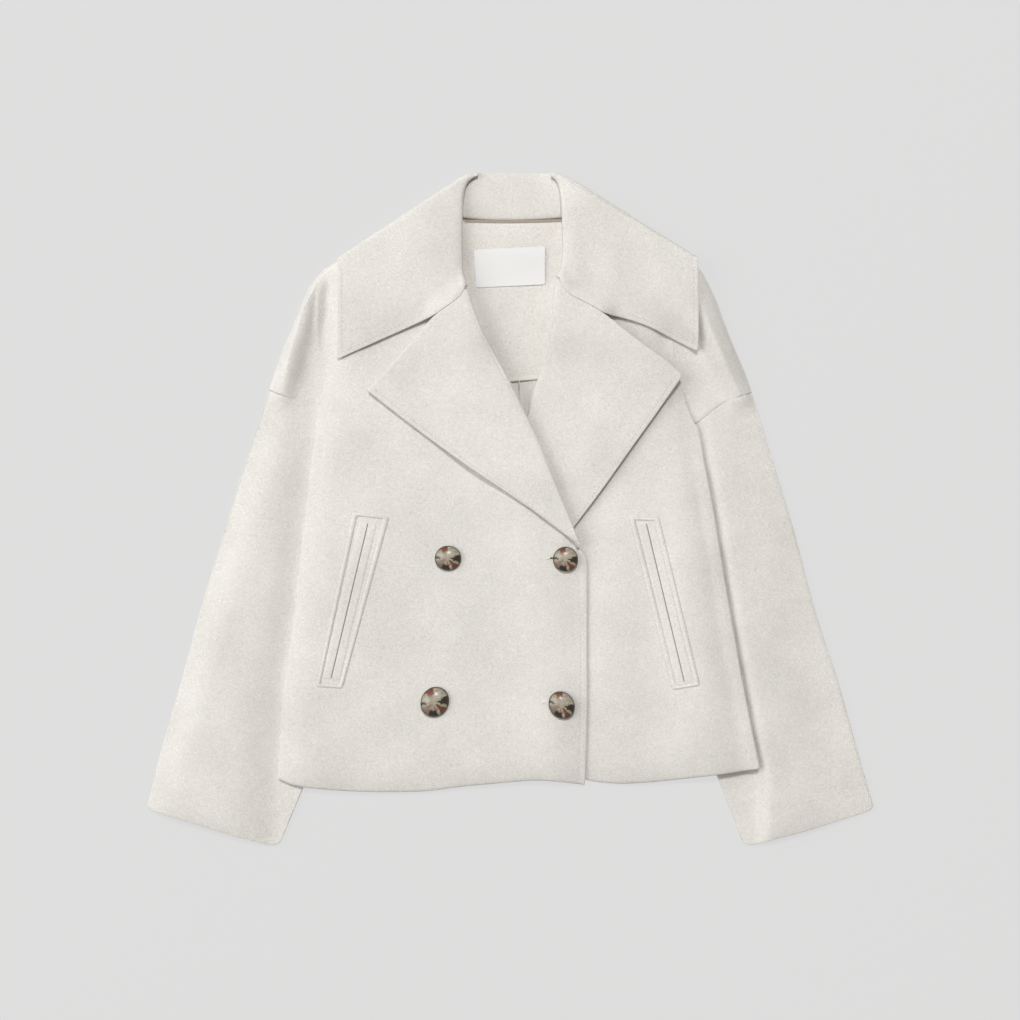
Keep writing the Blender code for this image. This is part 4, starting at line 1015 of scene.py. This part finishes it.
    def lapel_plan(self, side, roll_line, columns, rows, inset):
        """The lapel in plan: rows from the gorge to the break, columns from the roll outwards."""
        mirror = side["side"]
        roll = resampled(roll_line, rows)
        top = resampled(top_line(side), columns)
        edge = along(side["lapel_edge"], rows)
        end = along(side["lapel_end"], columns)
        if inset:
            top = top + plan_normals(top) * mirror * -inset
            edge = edge + plan_normals(edge) * mirror * -inset
        top[0], end[0] = roll[0, :2], roll[-1, :2]
        corner = np.array(side["lapel_edge"][0], float)
        centre = (np.array(side["lapel_top"][0], float) + side["lapel_edge"][-1]) / 2
        inward = (centre - corner) / np.linalg.norm(centre - corner)
        top[-1] = edge[0] = corner + inward * inset * 1.6
        edge[-1] = end[-1]
        return patch(top, end, roll[:, :2], edge)

    def lapel(self, name, side, roll_line):
        """The front's cloth turned back on the chest, and the facing that lies on it."""
        mirror = side["side"]
        table = self.table
        across = side["gorge"] + side["lapel_top"][1:]
        columns = spaced(across, 7.0, (3.0,), (3.0,))
        plan = self.lapel_plan(side, roll_line, columns, shares(roll_line), UNDER_LAPEL_INSET)
        from_roll, from_edge, _, from_end = edge_distances(plan)
        rising = rise(from_roll, 10.0) * np.clip(from_end / side["lapel_reach"], 0, 1)
        lift = side["lapel_lift"] * rising * bell(from_edge, LIFT_REACH)
        turned = table.lay(plan, self.cloth, LAPEL_REACH, FOLD_LIFT + lift)
        table.press(turned, self.cloth)
        turn = rolled(roll_line, turned[:, 0], plan_normals(roll_line) * -mirror, self.bulge)

        columns = spaced(across, 6.0, END_DETAIL, EDGE_DETAIL)
        rows = spaced(side["roll"], 6.0, EDGE_DETAIL, (1.5, 3.0, 5.0))
        plan = self.lapel_plan(side, roll_line, columns, rows, 0.0)
        from_roll, from_edge, from_top, from_end = edge_distances(plan)
        facing = table.lay(plan, self.cloth, FACING_REACH, 0.0, bell(from_edge, 18.0))
        inside = well_inside((from_roll, from_edge, from_top, from_end), (12.0, 10.0, 10.0, 30.0))
        relief = inside + (folds(f"lapel_{name}", plan) + unevenness(plan, 0.25)) * inside
        gorge = columns[None] * lengths_along(top_line(side))[-1] < lengths_along(side["gorge"])[-1]
        near = np.minimum(from_edge, np.where(gorge, FAR, from_top))
        facing[..., 2] += np.maximum(relief + seam_roll(near, 6.0, 0.22, 0.1), 0)
        rounded_corner(facing, False, True, 2.2)
        rounded_corner(facing, True, False, 3.0)
        facing[..., 2] -= BREAK_DIP * bell(from_end, 5.0)
        table.press(facing, self.cloth)
        self.close_gorge(name, facing)
        full = self.roll_outside - self.cloth / 2
        bulge = full - (full - 0.8) * np.clip((shares(facing[:, 0]) - 0.8) / 0.2, 0, 1)
        outward = plan_normals(facing[:, 0]) * -mirror
        below = np.column_stack([0 * bulge, 0 * bulge, 2 * bulge])
        lip = rolled(facing[:, 0] - below, facing[:, 0], outward, bulge, 2 * FOLD_STEPS)
        self.lines[f"lapel_{name}"] = facing
        return [turned, turn], [facing, lip[:, FOLD_STEPS:]]

    def close_gorge(self, name, facing):
        """Raise the leaf along the gorge seam, so that it meets the lapel it is sewn to."""
        top = self.lines[f"leaf_{name}"]
        length = lengths_along(SIDES[name]["gorge"])[-1]
        edge = top[-1]
        nearest, gap = beside(edge, facing[0, lengths_along(facing[0, :, :2]) < length + 1])
        higher = nearest[:, 2] + self.cloth / 2 - edge[:, 2] - self.collar_cloth / 2
        raised = np.maximum(higher, 0) * bell(gap, SEAM_SPREAD)
        top[..., 2] += raised[None] * bell(edge_distances(top)[3], 12.0)

    def fold_bulge(self, behind):
        """The leaf's fold gets flatter towards the neck, where it becomes the stand's."""
        flat = (self.collar_cloth + FOLD_AIR) / 2 + 0.3
        from_neck = lengths_along(behind)[-1] - lengths_along(behind)
        return flat + (COLLAR_BULGE - flat) * np.clip(from_neck / 30.0, 0, 1)

    def leaf(self, name, side, behind):
        """One wide leaf of the collar, with the stand below it and the turn over the shoulder."""
        mirror = side["side"]
        table = self.table
        thick = self.collar_cloth
        rows = spaced(side["leaf_roll"], 6.0, (2.0, 4.0, 8.0), EDGE_DETAIL)
        roll = along(side["leaf_roll"][::-1], rows)
        end = along(side["leaf_end"], rows)
        end[0] = behind[0, :2]
        columns = self.leaf_fractions[name]
        lower = joined(smooth_curve(side["leaf_front"]), smooth_curve(side["gorge"][::-1]))
        bottom = resampled(lower, columns)
        bottom[-1], end[-1] = roll[-1], bottom[0]
        roll[0] = behind[-1, :2]
        plan = patch(behind[:, :2], bottom, end, roll)
        reach = np.clip(lengths_along(roll) / 34.0, 0.08, 1)[:, None] * STAND_RETURN
        hidden = ruled(roll, roll + np.hstack([reach * mirror, 0 * reach]), 4)
        stand = table.lay(hidden, thick, LAPEL_REACH)
        table.press(stand, thick)
        u = columns[None]
        from_end, from_roll, from_fold, from_front = edge_distances(plan)
        at_point, at_notch = side["leaf_lift"]
        lift = (at_point + (at_notch - at_point) * np.clip(u / 0.66, 0, 1)) * bell(from_front, 22.0)
        lift = lift * rise(from_roll, 12.0)
        close = np.maximum(bell(from_front, 22.0), bell(np.linalg.norm(plan - roll[0], axis=-1), 28.0))
        top = table.lay(plan, thick, LEAF_REACH, FOLD_LIFT * (1 - close) + lift, close)
        inside = well_inside((from_end, from_roll, from_fold, from_front), (12.0, 12.0, 20.0, 14.0))
        relief = LEAF_FULLNESS * inside + (folds(f"leaf_{name}", plan) + unevenness(plan, 0.25)) * inside
        free_edge = np.minimum(from_end, np.where(u < 0.7, from_front, FAR))
        top[..., 2] += np.maximum(relief + seam_roll(free_edge, 6.0, 0.14, 0.12), 0)
        rounded_corner(top, True, False, 3.0)
        table.press(top, thick)
        turn = rolled(behind, top[0], plan_normals(behind) * -mirror, self.fold_bulge(behind))
        self.lines[f"leaf_{name}"] = top
        self.lines[f"stand_{name}"] = stand
        return [top, stand, turn]


def table_shift():
    """How far the solids' frame lies from the outlines' frame, in metres."""
    name, x, y = BUTTONS[0][:3]
    low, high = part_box(name)
    return np.array([(low[0] + high[0]) / 2 - x * MM, (low[1] + high[1]) / 2 - y * MM, 0.0])


SHIFT = table_shift()
LAID = {}


def laid_coat():
    """The coat laid out with the present sizes."""
    sizes = bpy.context.scene.coat_sizes
    key = (sizes.cloth, sizes.collar_cloth, sizes.fullness)
    if LAID.get("key") != key:
        LAID["coat"] = Coat(*(value / MM for value in key))
        LAID["key"] = key
    return LAID["coat"]


# ---- materials ----
def new_material(name):
    """A new material, with its node tree and its shader."""
    material = bpy.data.materials.new(f"coat {name}")
    material.use_nodes = True
    tree = material.node_tree
    return material, tree, tree.nodes["Principled BSDF"]


def dress(tree, made, inputs=None, **values):
    """Give a shader node its settings, and link or set its inputs."""
    for key, value in values.items():
        if hasattr(made, key):
            setattr(made, key, value)
        else:
            made.inputs[key.replace("_", " ")].default_value = value
    for key, value in (inputs or {}).items():
        if isinstance(value, bpy.types.NodeSocket):
            tree.links.new(value, made.inputs[key])
        else:
            made.inputs[key].default_value = value


def node(tree, kind, inputs=None, **values):
    """The outputs of a new shader node, made by its settings and inputs."""
    made = tree.nodes.new(f"ShaderNode{kind}")
    dress(tree, made, inputs, **values)
    return made.outputs


def fibre_group():
    """Felted fibres: a colour flecked with lighter and darker fibres, and the pile's height."""
    tree = bpy.data.node_groups.get("felted fibres")
    if tree:
        return tree
    tree = bpy.data.node_groups.new("felted fibres", "ShaderNodeTree")
    for way, socket, kind in (("INPUT", "Colour", "Color"), ("INPUT", "Fleck", "Float"),
                              ("OUTPUT", "Colour", "Color"), ("OUTPUT", "Height", "Float")):
        tree.interface.new_socket(name=socket, in_out=way, socket_type=f"NodeSocket{kind}")
    given = tree.nodes.new("NodeGroupInput").outputs
    place = node(tree, "TexCoord")["Object"]
    curl = node(tree, "TexNoise", {"Vector": place}, Scale=210.0, Detail=2.0)
    bent = node(tree, "MixRGB", {"Color1": place, "Color2": curl["Color"]}, Fac=0.006)
    fibres = node(tree, "TexNoise", {"Vector": bent[0]}, Scale=520.0, Detail=4.0, Roughness=0.65,
                  Distortion=1.2)
    specks = node(tree, "TexNoise", {"Vector": place}, Scale=1250.0, Detail=3.0, Roughness=0.7)
    clouds = node(tree, "TexNoise", {"Vector": place}, Scale=16.0, Detail=3.0)
    pile = node(tree, "Math", {0: fibres["Fac"], 1: specks["Fac"]}, operation="ADD")
    tone = node(tree, "MapRange", {"Value": pile[0]}, From_Min=0.6, From_Max=1.4, To_Min=-1.0, To_Max=1.0)
    broad = node(tree, "MapRange", {"Value": clouds["Fac"]}, From_Min=0.3, From_Max=0.7, To_Min=-0.18,
                 To_Max=0.18)
    both = node(tree, "Math", {0: tone[0], 1: broad[0]}, operation="ADD")
    amount = node(tree, "Math", {0: both[0], 1: given["Fleck"], 2: 1.0}, operation="MULTIPLY_ADD")
    shade = node(tree, "VectorMath", {0: given["Colour"], "Scale": amount[0]}, operation="SCALE")
    dress(tree, tree.nodes.new("NodeGroupOutput"), {"Colour": shade[0], "Height": pile[0]})
    return tree


def felt_material(name, colour):
    """Soft felted wool with a low pile."""
    material, tree, shader = new_material(name)
    fibres = node(tree, "Group", node_tree=fibre_group(), Colour=(*colour, 1), Fleck=FLECK)
    bump = node(tree, "Bump", {"Height": fibres["Height"]}, Strength=0.55, Distance=PILE_DEPTH)
    dress(tree, shader, {"Base Color": fibres["Colour"], "Normal": bump[0]}, Roughness=1.0,
          Specular_IOR_Level=0.1, Sheen_Weight=0.12, Sheen_Roughness=0.6)
    return material


def woven_material(name, colour, threads, roughness):
    """A fine woven tape or label, with its threads in relief."""
    material, tree, shader = new_material(name)
    place = node(tree, "TexCoord")["Object"]
    warp, weft = [node(tree, "TexWave", {"Vector": place}, Scale=threads * part, bands_direction=way,
                       Distortion=0.6, Detail=2.0) for way, part in (("X", 1.0), ("Y", 0.8))]
    both = node(tree, "Math", {0: warp["Fac"], 1: weft["Fac"]}, operation="MAXIMUM")
    tone = node(tree, "MapRange", {"Value": both[0]}, To_Min=0.90, To_Max=1.03)
    shade = node(tree, "VectorMath", {0: colour, "Scale": tone[0]}, operation="SCALE")
    bump = node(tree, "Bump", {"Height": both[0]}, Strength=0.4, Distance=0.0002)
    dress(tree, shader, {"Base Color": shade[0], "Normal": bump[0]}, Roughness=roughness)
    return material


def streaks(tree, angle, colours, stops):
    """Colours round the middle: stops are angles in degrees, anticlockwise from +X, and colours."""
    place = node(tree, "MapRange", {"Value": angle}, From_Min=-math.pi, From_Max=math.pi)
    made = tree.nodes.new("ShaderNodeValToRGB")
    ramp = made.color_ramp.elements
    while len(ramp) > 1:
        ramp.remove(ramp[-1])
    for degrees, colour in stops:
        stop = ramp.new((degrees + 180) / 360) if degrees > -180 else ramp[0]
        stop.position = (degrees + 180) / 360
        stop.color = (*colours[colour], 1)
    dress(tree, made, {0: place[0]})
    return made.outputs[0]


def horn_material(name, settings, turn):
    """Polished horn with streaks that run out from the middle, on the button's own plane map."""
    material, tree, shader = new_material(name)
    colours = {key: getattr(settings, f"horn_{key}") for key in ("light", "mauve", "dark", "red")}
    plane = node(tree, "UVMap", uv_map="plane")
    centred = node(tree, "Mapping", {"Vector": plane[0]}, Rotation=(0, 0, turn))
    split = node(tree, "SeparateXYZ", {0: centred[0]})
    angle = node(tree, "Math", {0: split["Y"], 1: split["X"]}, operation="ARCTAN2")
    wander = node(tree, "TexNoise", {"Vector": centred[0]}, Scale=3.0, Detail=3.0)
    shifted = node(tree, "MapRange", {"Value": wander["Fac"]}, To_Min=-0.34, To_Max=0.34)
    bent = node(tree, "Math", {0: angle[0], 1: shifted[0]}, operation="ADD")
    inner, outer = [streaks(tree, bent[0], colours, stops) for stops in (HORN_INNER, HORN_OUTER)]
    length = node(tree, "VectorMath", {0: centred[0]}, operation="LENGTH")["Value"]
    uneven = node(tree, "Math", {0: length, 1: shifted[0]}, operation="ADD")
    outward = node(tree, "MapRange", {"Value": uneven[0]}, From_Min=0.42, From_Max=0.56)
    heart = node(tree, "MapRange", {"Value": length}, From_Min=0.24, From_Max=0.10)
    rim = node(tree, "MapRange", {"Value": length}, From_Min=0.88, From_Max=0.97)
    ray = node(tree, "CombineXYZ", {"X": bent[0], "Y": length})
    speck = node(tree, "TexNoise", {"Vector": ray[0]}, Scale=3.2, Detail=5.0, Roughness=0.6)
    grey = node(tree, "MapRange", {"Value": speck["Fac"]}, From_Min=0.25, From_Max=0.75, To_Min=0.40,
                To_Max=1.30)
    streaked = node(tree, "MixRGB", {"Fac": outward[0], "Color1": inner, "Color2": outer})
    hearted = node(tree, "MixRGB", {"Fac": heart[0], "Color1": streaked[0]}, Color2=(*colours["light"], 1))
    rimmed = node(tree, "MixRGB", {"Fac": rim[0], "Color1": hearted[0]}, Color2=(*colours["dark"], 1))
    shade = node(tree, "VectorMath", {0: rimmed[0], "Scale": grey[0]}, operation="SCALE")
    dress(tree, shader, {"Base Color": shade[0]}, Roughness=0.36, Coat_Weight=0.30, Coat_Roughness=0.22)
    return material


def coat_material(name):
    """One of the coat's materials, built when it is first asked for."""
    made = bpy.data.materials.get(f"coat {name}")
    if made:
        return made
    colour = getattr(bpy.context.scene.coat_colours, name)
    return woven_material(name, colour, *WOVEN[name]) if name in WOVEN else felt_material(name, colour)


# ---- making objects ----
def finished_mesh(bm, name):
    """The mesh of a finished set of faces."""
    mesh = bpy.data.meshes.new(name)
    bm.to_mesh(mesh)
    bm.free()
    return mesh


def placed(name, data, location=(0, 0, 0)):
    """A new object in the scene."""
    made = bpy.data.objects.new(name, data)
    made.location = location
    bpy.context.scene.collection.objects.link(made)
    return made


def add_piece(name, mesh, material, replaced=()):
    """A visible piece that rides on the coat and stands for its solid."""
    mesh.materials.append(material)
    mesh.shade_smooth()
    piece = placed(name, mesh)
    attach(piece, BODY)
    if replaced:
        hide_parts(*replaced)
    return piece


def add_cloth(name, grids, thickness, material="wool", replaced=(), smooth=1):
    """A wall of cloth whose middle surface is made of grids that meet along shared points."""
    bm = bmesh.new()
    for grid in grids:
        rows, columns = grid.shape[:2]
        made = bmesh.ops.create_grid(bm, x_segments=columns - 1, y_segments=rows - 1, size=1.0)
        for vertex, point in zip(made["verts"], grid.reshape(-1, 3)):
            vertex.co = point * MM + SHIFT
    bmesh.ops.remove_doubles(bm, verts=bm.verts, dist=WELD)
    bmesh.ops.recalc_face_normals(bm, faces=bm.faces)
    piece = add_piece(name, finished_mesh(bm, name), coat_material(material), replaced)
    wall = piece.modifiers.new("cloth", "SOLIDIFY")
    wall.thickness = thickness * MM
    wall.offset = 0.0
    if smooth:
        rounded = piece.modifiers.new("rounded", "SUBSURF")
        rounded.levels = rounded.render_levels = smooth


def add_sewn(solid, thickness=None, material="wool", name=None):
    """The cloth that stands for one solid."""
    coat = laid_coat()
    add_cloth(f"{name or solid}_cloth", coat.grids[solid], thickness or coat.cloth, material, [solid])


class COAT_OT_stage(bpy.types.Operator):
    """Floor, studio light and camera above the coat"""
    bl_idname = "coat.stage"
    bl_label = "Stage"

    def execute(self, context):
        scene = context.scene
        studio = scene.coat_studio
        scene.view_settings.view_transform = "Standard"
        bm = bmesh.new()
        bmesh.ops.create_grid(bm, x_segments=1, y_segments=1, size=FLOOR_HALF_WIDTH)
        mesh = finished_mesh(bm, "floor")
        material, tree, shader = new_material("floor")
        dress(tree, shader, Base_Color=(*scene.coat_colours.floor, 1), Emission_Color=(1, 1, 1, 1),
              Emission_Strength=studio.glow, Roughness=0.9, Specular_IOR_Level=0.1)
        mesh.materials.append(material)
        placed("floor", mesh, (0, 0, -FLOOR_GAP))

        world = bpy.data.worlds.new("studio")
        world.use_nodes = True
        tree = world.node_tree
        dress(tree, tree.nodes["Background"], Color=SURROUND_COLOUR, Strength=studio.surround)
        scene.world = world

        for name, direction, distance, size, share in LAMPS:
            towards = mathutils.Vector(direction).normalized()
            lamp = bpy.data.lights.new(name, "AREA")
            lamp.shape = "DISK"
            lamp.size = size
            lamp.energy = share * studio.key / towards.z * math.pi * distance ** 2
            lamp.color = LAMP_COLOUR
            lit = placed(name, lamp, towards * distance)
            lit.rotation_euler = towards.to_track_quat("Z", "Y").to_euler()

        lens = bpy.data.cameras.new("camera")
        lens.lens = studio.lens
        lens.sensor_width = SENSOR_WIDTH
        lens.clip_end = 20.0
        height = studio.frame_width * studio.lens / SENSOR_WIDTH + PICTURE_LEVEL
        x, y = SHIFT[:2] + np.array(PICTURE_CENTRE) * MM
        scene.camera = placed("camera", lens, (x, y, height))
        return {"FINISHED"}


class COAT_OT_sleeves(bpy.types.Operator):
    """Both sleeves, as flattened tubes"""
    bl_idname = "coat.sleeves"
    bl_label = "Sleeves"

    def execute(self, context):
        for name in SIDES:
            add_sewn(f"sleeve_{name}")
        return {"FINISHED"}


class COAT_OT_back(bpy.types.Operator):
    """Both halves of the back, with the strips that wrap over the shoulders"""
    bl_idname = "coat.back"
    bl_label = "Back"

    def execute(self, context):
        for name in SIDES:
            add_sewn(f"back_{name}")
        return {"FINISHED"}


class COAT_OT_inside(bpy.types.Operator):
    """What shows in the neck opening: facing, tapes and blank label"""
    bl_idname = "coat.inside"
    bl_label = "Neck opening"

    def execute(self, context):
        # The facing's colour is lightened with painted light against the shade of the neck opening.
        add_sewn("back_facing", FACING_CLOTH, "wool_inside")
        for name, _, _, material in TAPES:
            add_sewn(name, TAPE_CLOTH, material)
        add_sewn("neck_label", LABEL_CLOTH, "label")
        return {"FINISHED"}


class COAT_OT_fronts(bpy.types.Operator):
    """Both fronts with their turned lapels"""
    bl_idname = "coat.fronts"
    bl_label = "Fronts"

    def execute(self, context):
        for name in SIDES:
            add_sewn(f"front_{name}")
            add_sewn(f"lapel_facing_{name}", name=f"lapel_{name}")
        return {"FINISHED"}


class COAT_OT_collar(bpy.types.Operator):
    """The collar: fall, stand and both leaves"""
    bl_idname = "coat.collar"
    bl_label = "Collar"

    def execute(self, context):
        add_sewn("collar", laid_coat().collar_cloth)
        return {"FINISHED"}


class COAT_OT_buttons(bpy.types.Operator):
    """Four horn buttons on their shanks"""
    bl_idname = "coat.buttons"
    bl_label = "Buttons"

    def execute(self, context):
        table = laid_coat().table
        steps = context.scene.coat_sizes.button_steps
        for name, x, y, length, width, way, turn in BUTTONS:
            radius = width / 2
            base = table.read(widened(table.height, 1), np.array([[x, y]], float))[0] + 0.1
            shank_top = base + SHANK_HEIGHT
            rim = shank_top - BUTTON_PROFILE[-1][1] * radius
            profile = [(part * radius, rim + height * radius) for part, height in BUTTON_PROFILE]
            profile += [(SHANK_RADIUS, shank_top), (SHANK_RADIUS, base), (0.0, base)]
            bm = bmesh.new()
            points = [bm.verts.new((distance * MM, 0, height * MM)) for distance, height in profile]
            edges = [bm.edges.new(pair) for pair in zip(points, points[1:])]
            bmesh.ops.spin(bm, geom=points + edges, cent=(0, 0, 0), axis=(0, 0, 1), angle=math.tau,
                           steps=steps, use_merge=True)
            bmesh.ops.remove_doubles(bm, verts=bm.verts, dist=0.00001)
            bmesh.ops.recalc_face_normals(bm, faces=bm.faces)
            plane = bm.loops.layers.uv.new("plane")
            for face in bm.faces:
                for loop in face.loops:
                    loop[plane].uv = loop.vert.co.xy / (radius * MM)
            longer = (math.cos(math.radians(way)), math.sin(math.radians(way)), 0)
            bmesh.ops.transform(bm, verts=bm.verts,
                                matrix=mathutils.Matrix.Scale(length / width, 4, longer))
            bmesh.ops.translate(bm, verts=bm.verts, vec=np.array((x, y, 0)) * MM + SHIFT)
            horn = horn_material(f"horn {name}", context.scene.coat_colours, math.radians(-turn))
            add_piece(f"{name}_horn", finished_mesh(bm, name), horn, [name])
        return {"FINISHED"}


def surface_of(name):
    """The shown surface of a piece, to lay small things on."""
    return BVHTree.FromObject(bpy.data.objects[name], bpy.context.evaluated_depsgraph_get())


def on_surface(surface, plan):
    """Points of the outlines' frame, raised to the surface below them (mm)."""
    heights = np.zeros(plan.shape[:-1])
    for index in np.ndindex(heights.shape):
        start = (*(plan[index][:2] * MM + SHIFT[:2]), 1.0)
        hit = surface.ray_cast(start, (0, 0, -1))[0]
        heights[index] = hit.z / MM if hit else 0.0
    return at_height(plan, heights)


def framed(corners):
    """Rows round a pocket's frame, from its outer to its inner edge, closed at the first corner."""
    outer = np.array(corners, float)
    middle = outer.mean(0)
    rows = []
    for start, end in zip(outer, np.roll(outer, -1, 0)):
        count = max(6, int(np.linalg.norm(end - start) / 3.0))
        rows.append(start + (end - start) * np.linspace(0, 1, count, endpoint=False)[:, None])
    line = np.vstack(rows + [outer[:1]])
    axis = outer[3] + outer[2] - outer[0] - outer[1]
    axis /= np.linalg.norm(axis)
    axes = np.array([axis, (-axis[1], axis[0])])
    local = (line - middle) @ axes.T
    inner = middle + local * (1 - np.array(FRAME_WIDTHS) / np.abs(local).max(0)) @ axes
    return ruled(line, inner, 6)


class COAT_OT_pockets(bpy.types.Operator):
    """Welt pockets: two welts and a topstitched frame on each front"""
    bl_idname = "coat.pockets"
    bl_label = "Pockets"

    def execute(self, context):
        across = np.array(WELT_COLUMNS)
        sunk = WELT_SUNK * np.clip((across - 7.0) / 2.2, 0, 1) ** 2
        for name, side in SIDES.items():
            surface = surface_of(f"front_{name}_cloth")
            slit = evenly(side["pocket"], 60)
            normal = plan_normals(slit)[:, None]
            from_ends = np.minimum(lengths_along(slit), lengths_along(slit)[::-1])[:, None]
            for part, sign in (("front", side["side"]), ("back", -side["side"])):
                welt = on_surface(surface, slit[:, None] + normal * (sign * across)[:, None])
                welt[..., 2] += WELT_LIFT - sunk[None] - WELT_END_DIP * np.exp(-from_ends / 2.0)
                solid = f"welt_{name}_{part}"
                add_cloth(f"{solid}_cloth", [welt], WELT_CLOTH, replaced=[solid])
            # A dark sheet of painted shade in each slit, where the pocket's inside is unlit.
            plan = slit[:, None] + normal * np.array(POCKET_SLIT)[:, None]
            opening = on_surface(surface, plan[1:-1])
            opening[..., 2] += POCKET_SLIT_LIFT
            add_cloth(f"pocket_slit_{name}", [opening], SLIT_CLOTH, "pocket", smooth=0)
            frame_grid = on_surface(surface, framed(side["pocket_frame"]))
            frame_grid[..., 2] += FRAME_BAND * np.sin(np.pi * np.linspace(0, 1, 7))[None] ** 0.5 - FRAME_SUNK
            frame_grid[-1] = frame_grid[0]
            add_cloth(f"pocket_frame_{name}_cloth", [frame_grid], FRAME_CLOTH)
        return {"FINISHED"}


class COAT_OT_stitches(bpy.types.Operator):
    """Topstitching along the front edge, the lapels, the leaves and the pockets, and the buttonholes"""
    bl_idname = "coat.stitches"
    bl_label = "Topstitching"

    def lines(self, name):
        """The lines of stitches, for each piece that they are sewn through."""
        chest, facing, leaf = [laid_coat().lines[f"{part}_{name}"] for part in ("front", "lapel", "leaf")]
        six, seven = [EDGE_DETAIL.index(distance) + 1 for distance in (6.0, 7.0)]
        frame_rows = framed(SIDES[name]["pocket_frame"])
        edge = [chest[BREAK_ROW + 8:, -1 - seven, :2]] if name == "right" else []
        return {
            "front": edge + [frame_rows[:, 0], frame_rows[:, -1]],
            "lapel": [facing[six:, -1 - six, :2]],
            "collar": [leaf[six:-six, six, :2], leaf[-1 - six, six:int(leaf.shape[1] * 0.62), :2]],
        }

    def execute(self, context):
        sizes = context.scene.coat_sizes
        length, thread = sizes.stitch / MM, sizes.thread / MM
        for name in SIDES:
            for part, lines in self.lines(name).items():
                cloth = part if part == "collar" else f"{part}_{name}"
                surface = surface_of(f"{cloth}_cloth")
                bm = bmesh.new()
                for line in lines:
                    count = max(2, int(lengths_along(line)[-1] / (length * STITCH_SPACING)))
                    ends = on_surface(surface, resampled(line, np.linspace(0, 1, count + 1))[None])[0]
                    for start, end in zip(ends[:-1], ends[1:]):
                        add_stitch(bm, start, start + (end - start) / STITCH_SPACING, thread)
                # The thread's darkened colour paints the shade of the stitch grooves.
                finish_stitches(bm, f"topstitching_{cloth}_{name}", "thread")
        surface = surface_of("front_right_cloth")
        bm = bmesh.new()
        for _, x, y, _ in BUTTONHOLES:
            for across in np.arange(*BAR_STITCHES):
                ends = [(x + across, y - BAR_HALF_LENGTH), (x + across, y + BAR_HALF_LENGTH)]
                add_stitch(bm, *on_surface(surface, np.array([ends]))[0], BAR_THREAD)
            for across in np.arange(*SIDE_STITCHES):
                for sign in (-1, 1):
                    ends = [(x + across, y + sign * end) for end in SIDE_STITCH_ENDS]
                    add_stitch(bm, *on_surface(surface, np.array([ends]))[0], SIDE_THREAD)
        finish_stitches(bm, "buttonhole_stitches", "silk")
        # Each buttonhole's slit is a thin sheet of painted shade.
        for name, x, y, start in BUTTONHOLES:
            lower, upper = [np.array([(x + start, y + half), (x + BUTTONHOLE_LENGTH, y + half)])
                            for half in BUTTONHOLE_SLIT]
            slit = on_surface(surface, ruled(lower, upper, 2))
            slit[..., 2] += BUTTONHOLE_SLIT_LIFT
            add_cloth(f"buttonhole_{name}_slit", [slit], SLIT_CLOTH, "shade", smooth=0)
        return {"FINISHED"}


def add_stitch(bm, start, end, thickness):
    """One stitch of thread between two points on a surface (mm)."""
    start, end = mathutils.Vector(start * MM), mathutils.Vector(end * MM)
    along_stitch = end - start
    turned = along_stitch.to_track_quat("Z", "Y").to_matrix().to_4x4()
    sized = mathutils.Matrix.Diagonal((thickness * MM, thickness * MM, along_stitch.length, 1))
    middle = (start + end) / 2 + mathutils.Vector(SHIFT) + mathutils.Vector((0, 0, 0.1 * thickness * MM))
    bmesh.ops.create_icosphere(bm, subdivisions=1, radius=0.5,
                               matrix=mathutils.Matrix.Translation(middle) @ turned @ sized)


def finish_stitches(bm, name, material):
    """One piece made of all the stitches set so far."""
    add_piece(name, finished_mesh(bm, name), coat_material(material))


class COAT_OT_sheets(bpy.types.Operator):
    """Measure the area of every listed sheet of cloth"""
    bl_idname = "coat.sheets"
    bl_label = "Cut of the cloth"

    def execute(self, context):
        depsgraph = context.evaluated_depsgraph_get()
        rows = [(side, row) for row in SHEETS for side in row[1]]
        for side, (name, _, size, held, rests_on, sewn) in rows:
            piece = bpy.data.objects[name.format(side) + "_cloth"]
            evaluated = piece.evaluated_get(depsgraph)
            area = sum(polygon.area for polygon in evaluated.to_mesh().polygons) / 2
            evaluated.to_mesh_clear()
        return {"FINISHED"}


class COAT_PT_panel(bpy.types.Panel):
    """The coat's operators and settings"""
    bl_idname = "COAT_PT_panel"
    bl_label = "Winter coat"
    bl_space_type = "VIEW_3D"
    bl_region_type = "UI"
    bl_category = "Coat"

    def draw(self, context):
        for settings in (context.scene.coat_sizes, context.scene.coat_colours, context.scene.coat_studio):
            box = self.layout.box()
            for key in settings.__annotations__:
                box.prop(settings, key)
        for operator in OPERATORS:
            self.layout.operator(operator.bl_idname)


OPERATORS = (COAT_OT_stage, COAT_OT_sleeves, COAT_OT_back, COAT_OT_inside, COAT_OT_fronts, COAT_OT_collar,
             COAT_OT_pockets, COAT_OT_stitches, COAT_OT_buttons, COAT_OT_sheets)
CLASSES = (CoatSizes, CoatColours, StudioSettings) + OPERATORS + (COAT_PT_panel,)


def register():
    for made in CLASSES:
        bpy.utils.register_class(made)
    bpy.types.Scene.coat_sizes = PointerProperty(type=CoatSizes)
    bpy.types.Scene.coat_colours = PointerProperty(type=CoatColours)
    bpy.types.Scene.coat_studio = PointerProperty(type=StudioSettings)


def unregister():
    del bpy.types.Scene.coat_studio
    del bpy.types.Scene.coat_colours
    del bpy.types.Scene.coat_sizes
    for made in reversed(CLASSES):
        bpy.utils.unregister_class(made)


def main():
    register()
    for operator in OPERATORS:
        group, name = operator.bl_idname.split(".")
        getattr(getattr(bpy.ops, group), name)()
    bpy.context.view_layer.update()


if __name__ == "__main__":
    main()
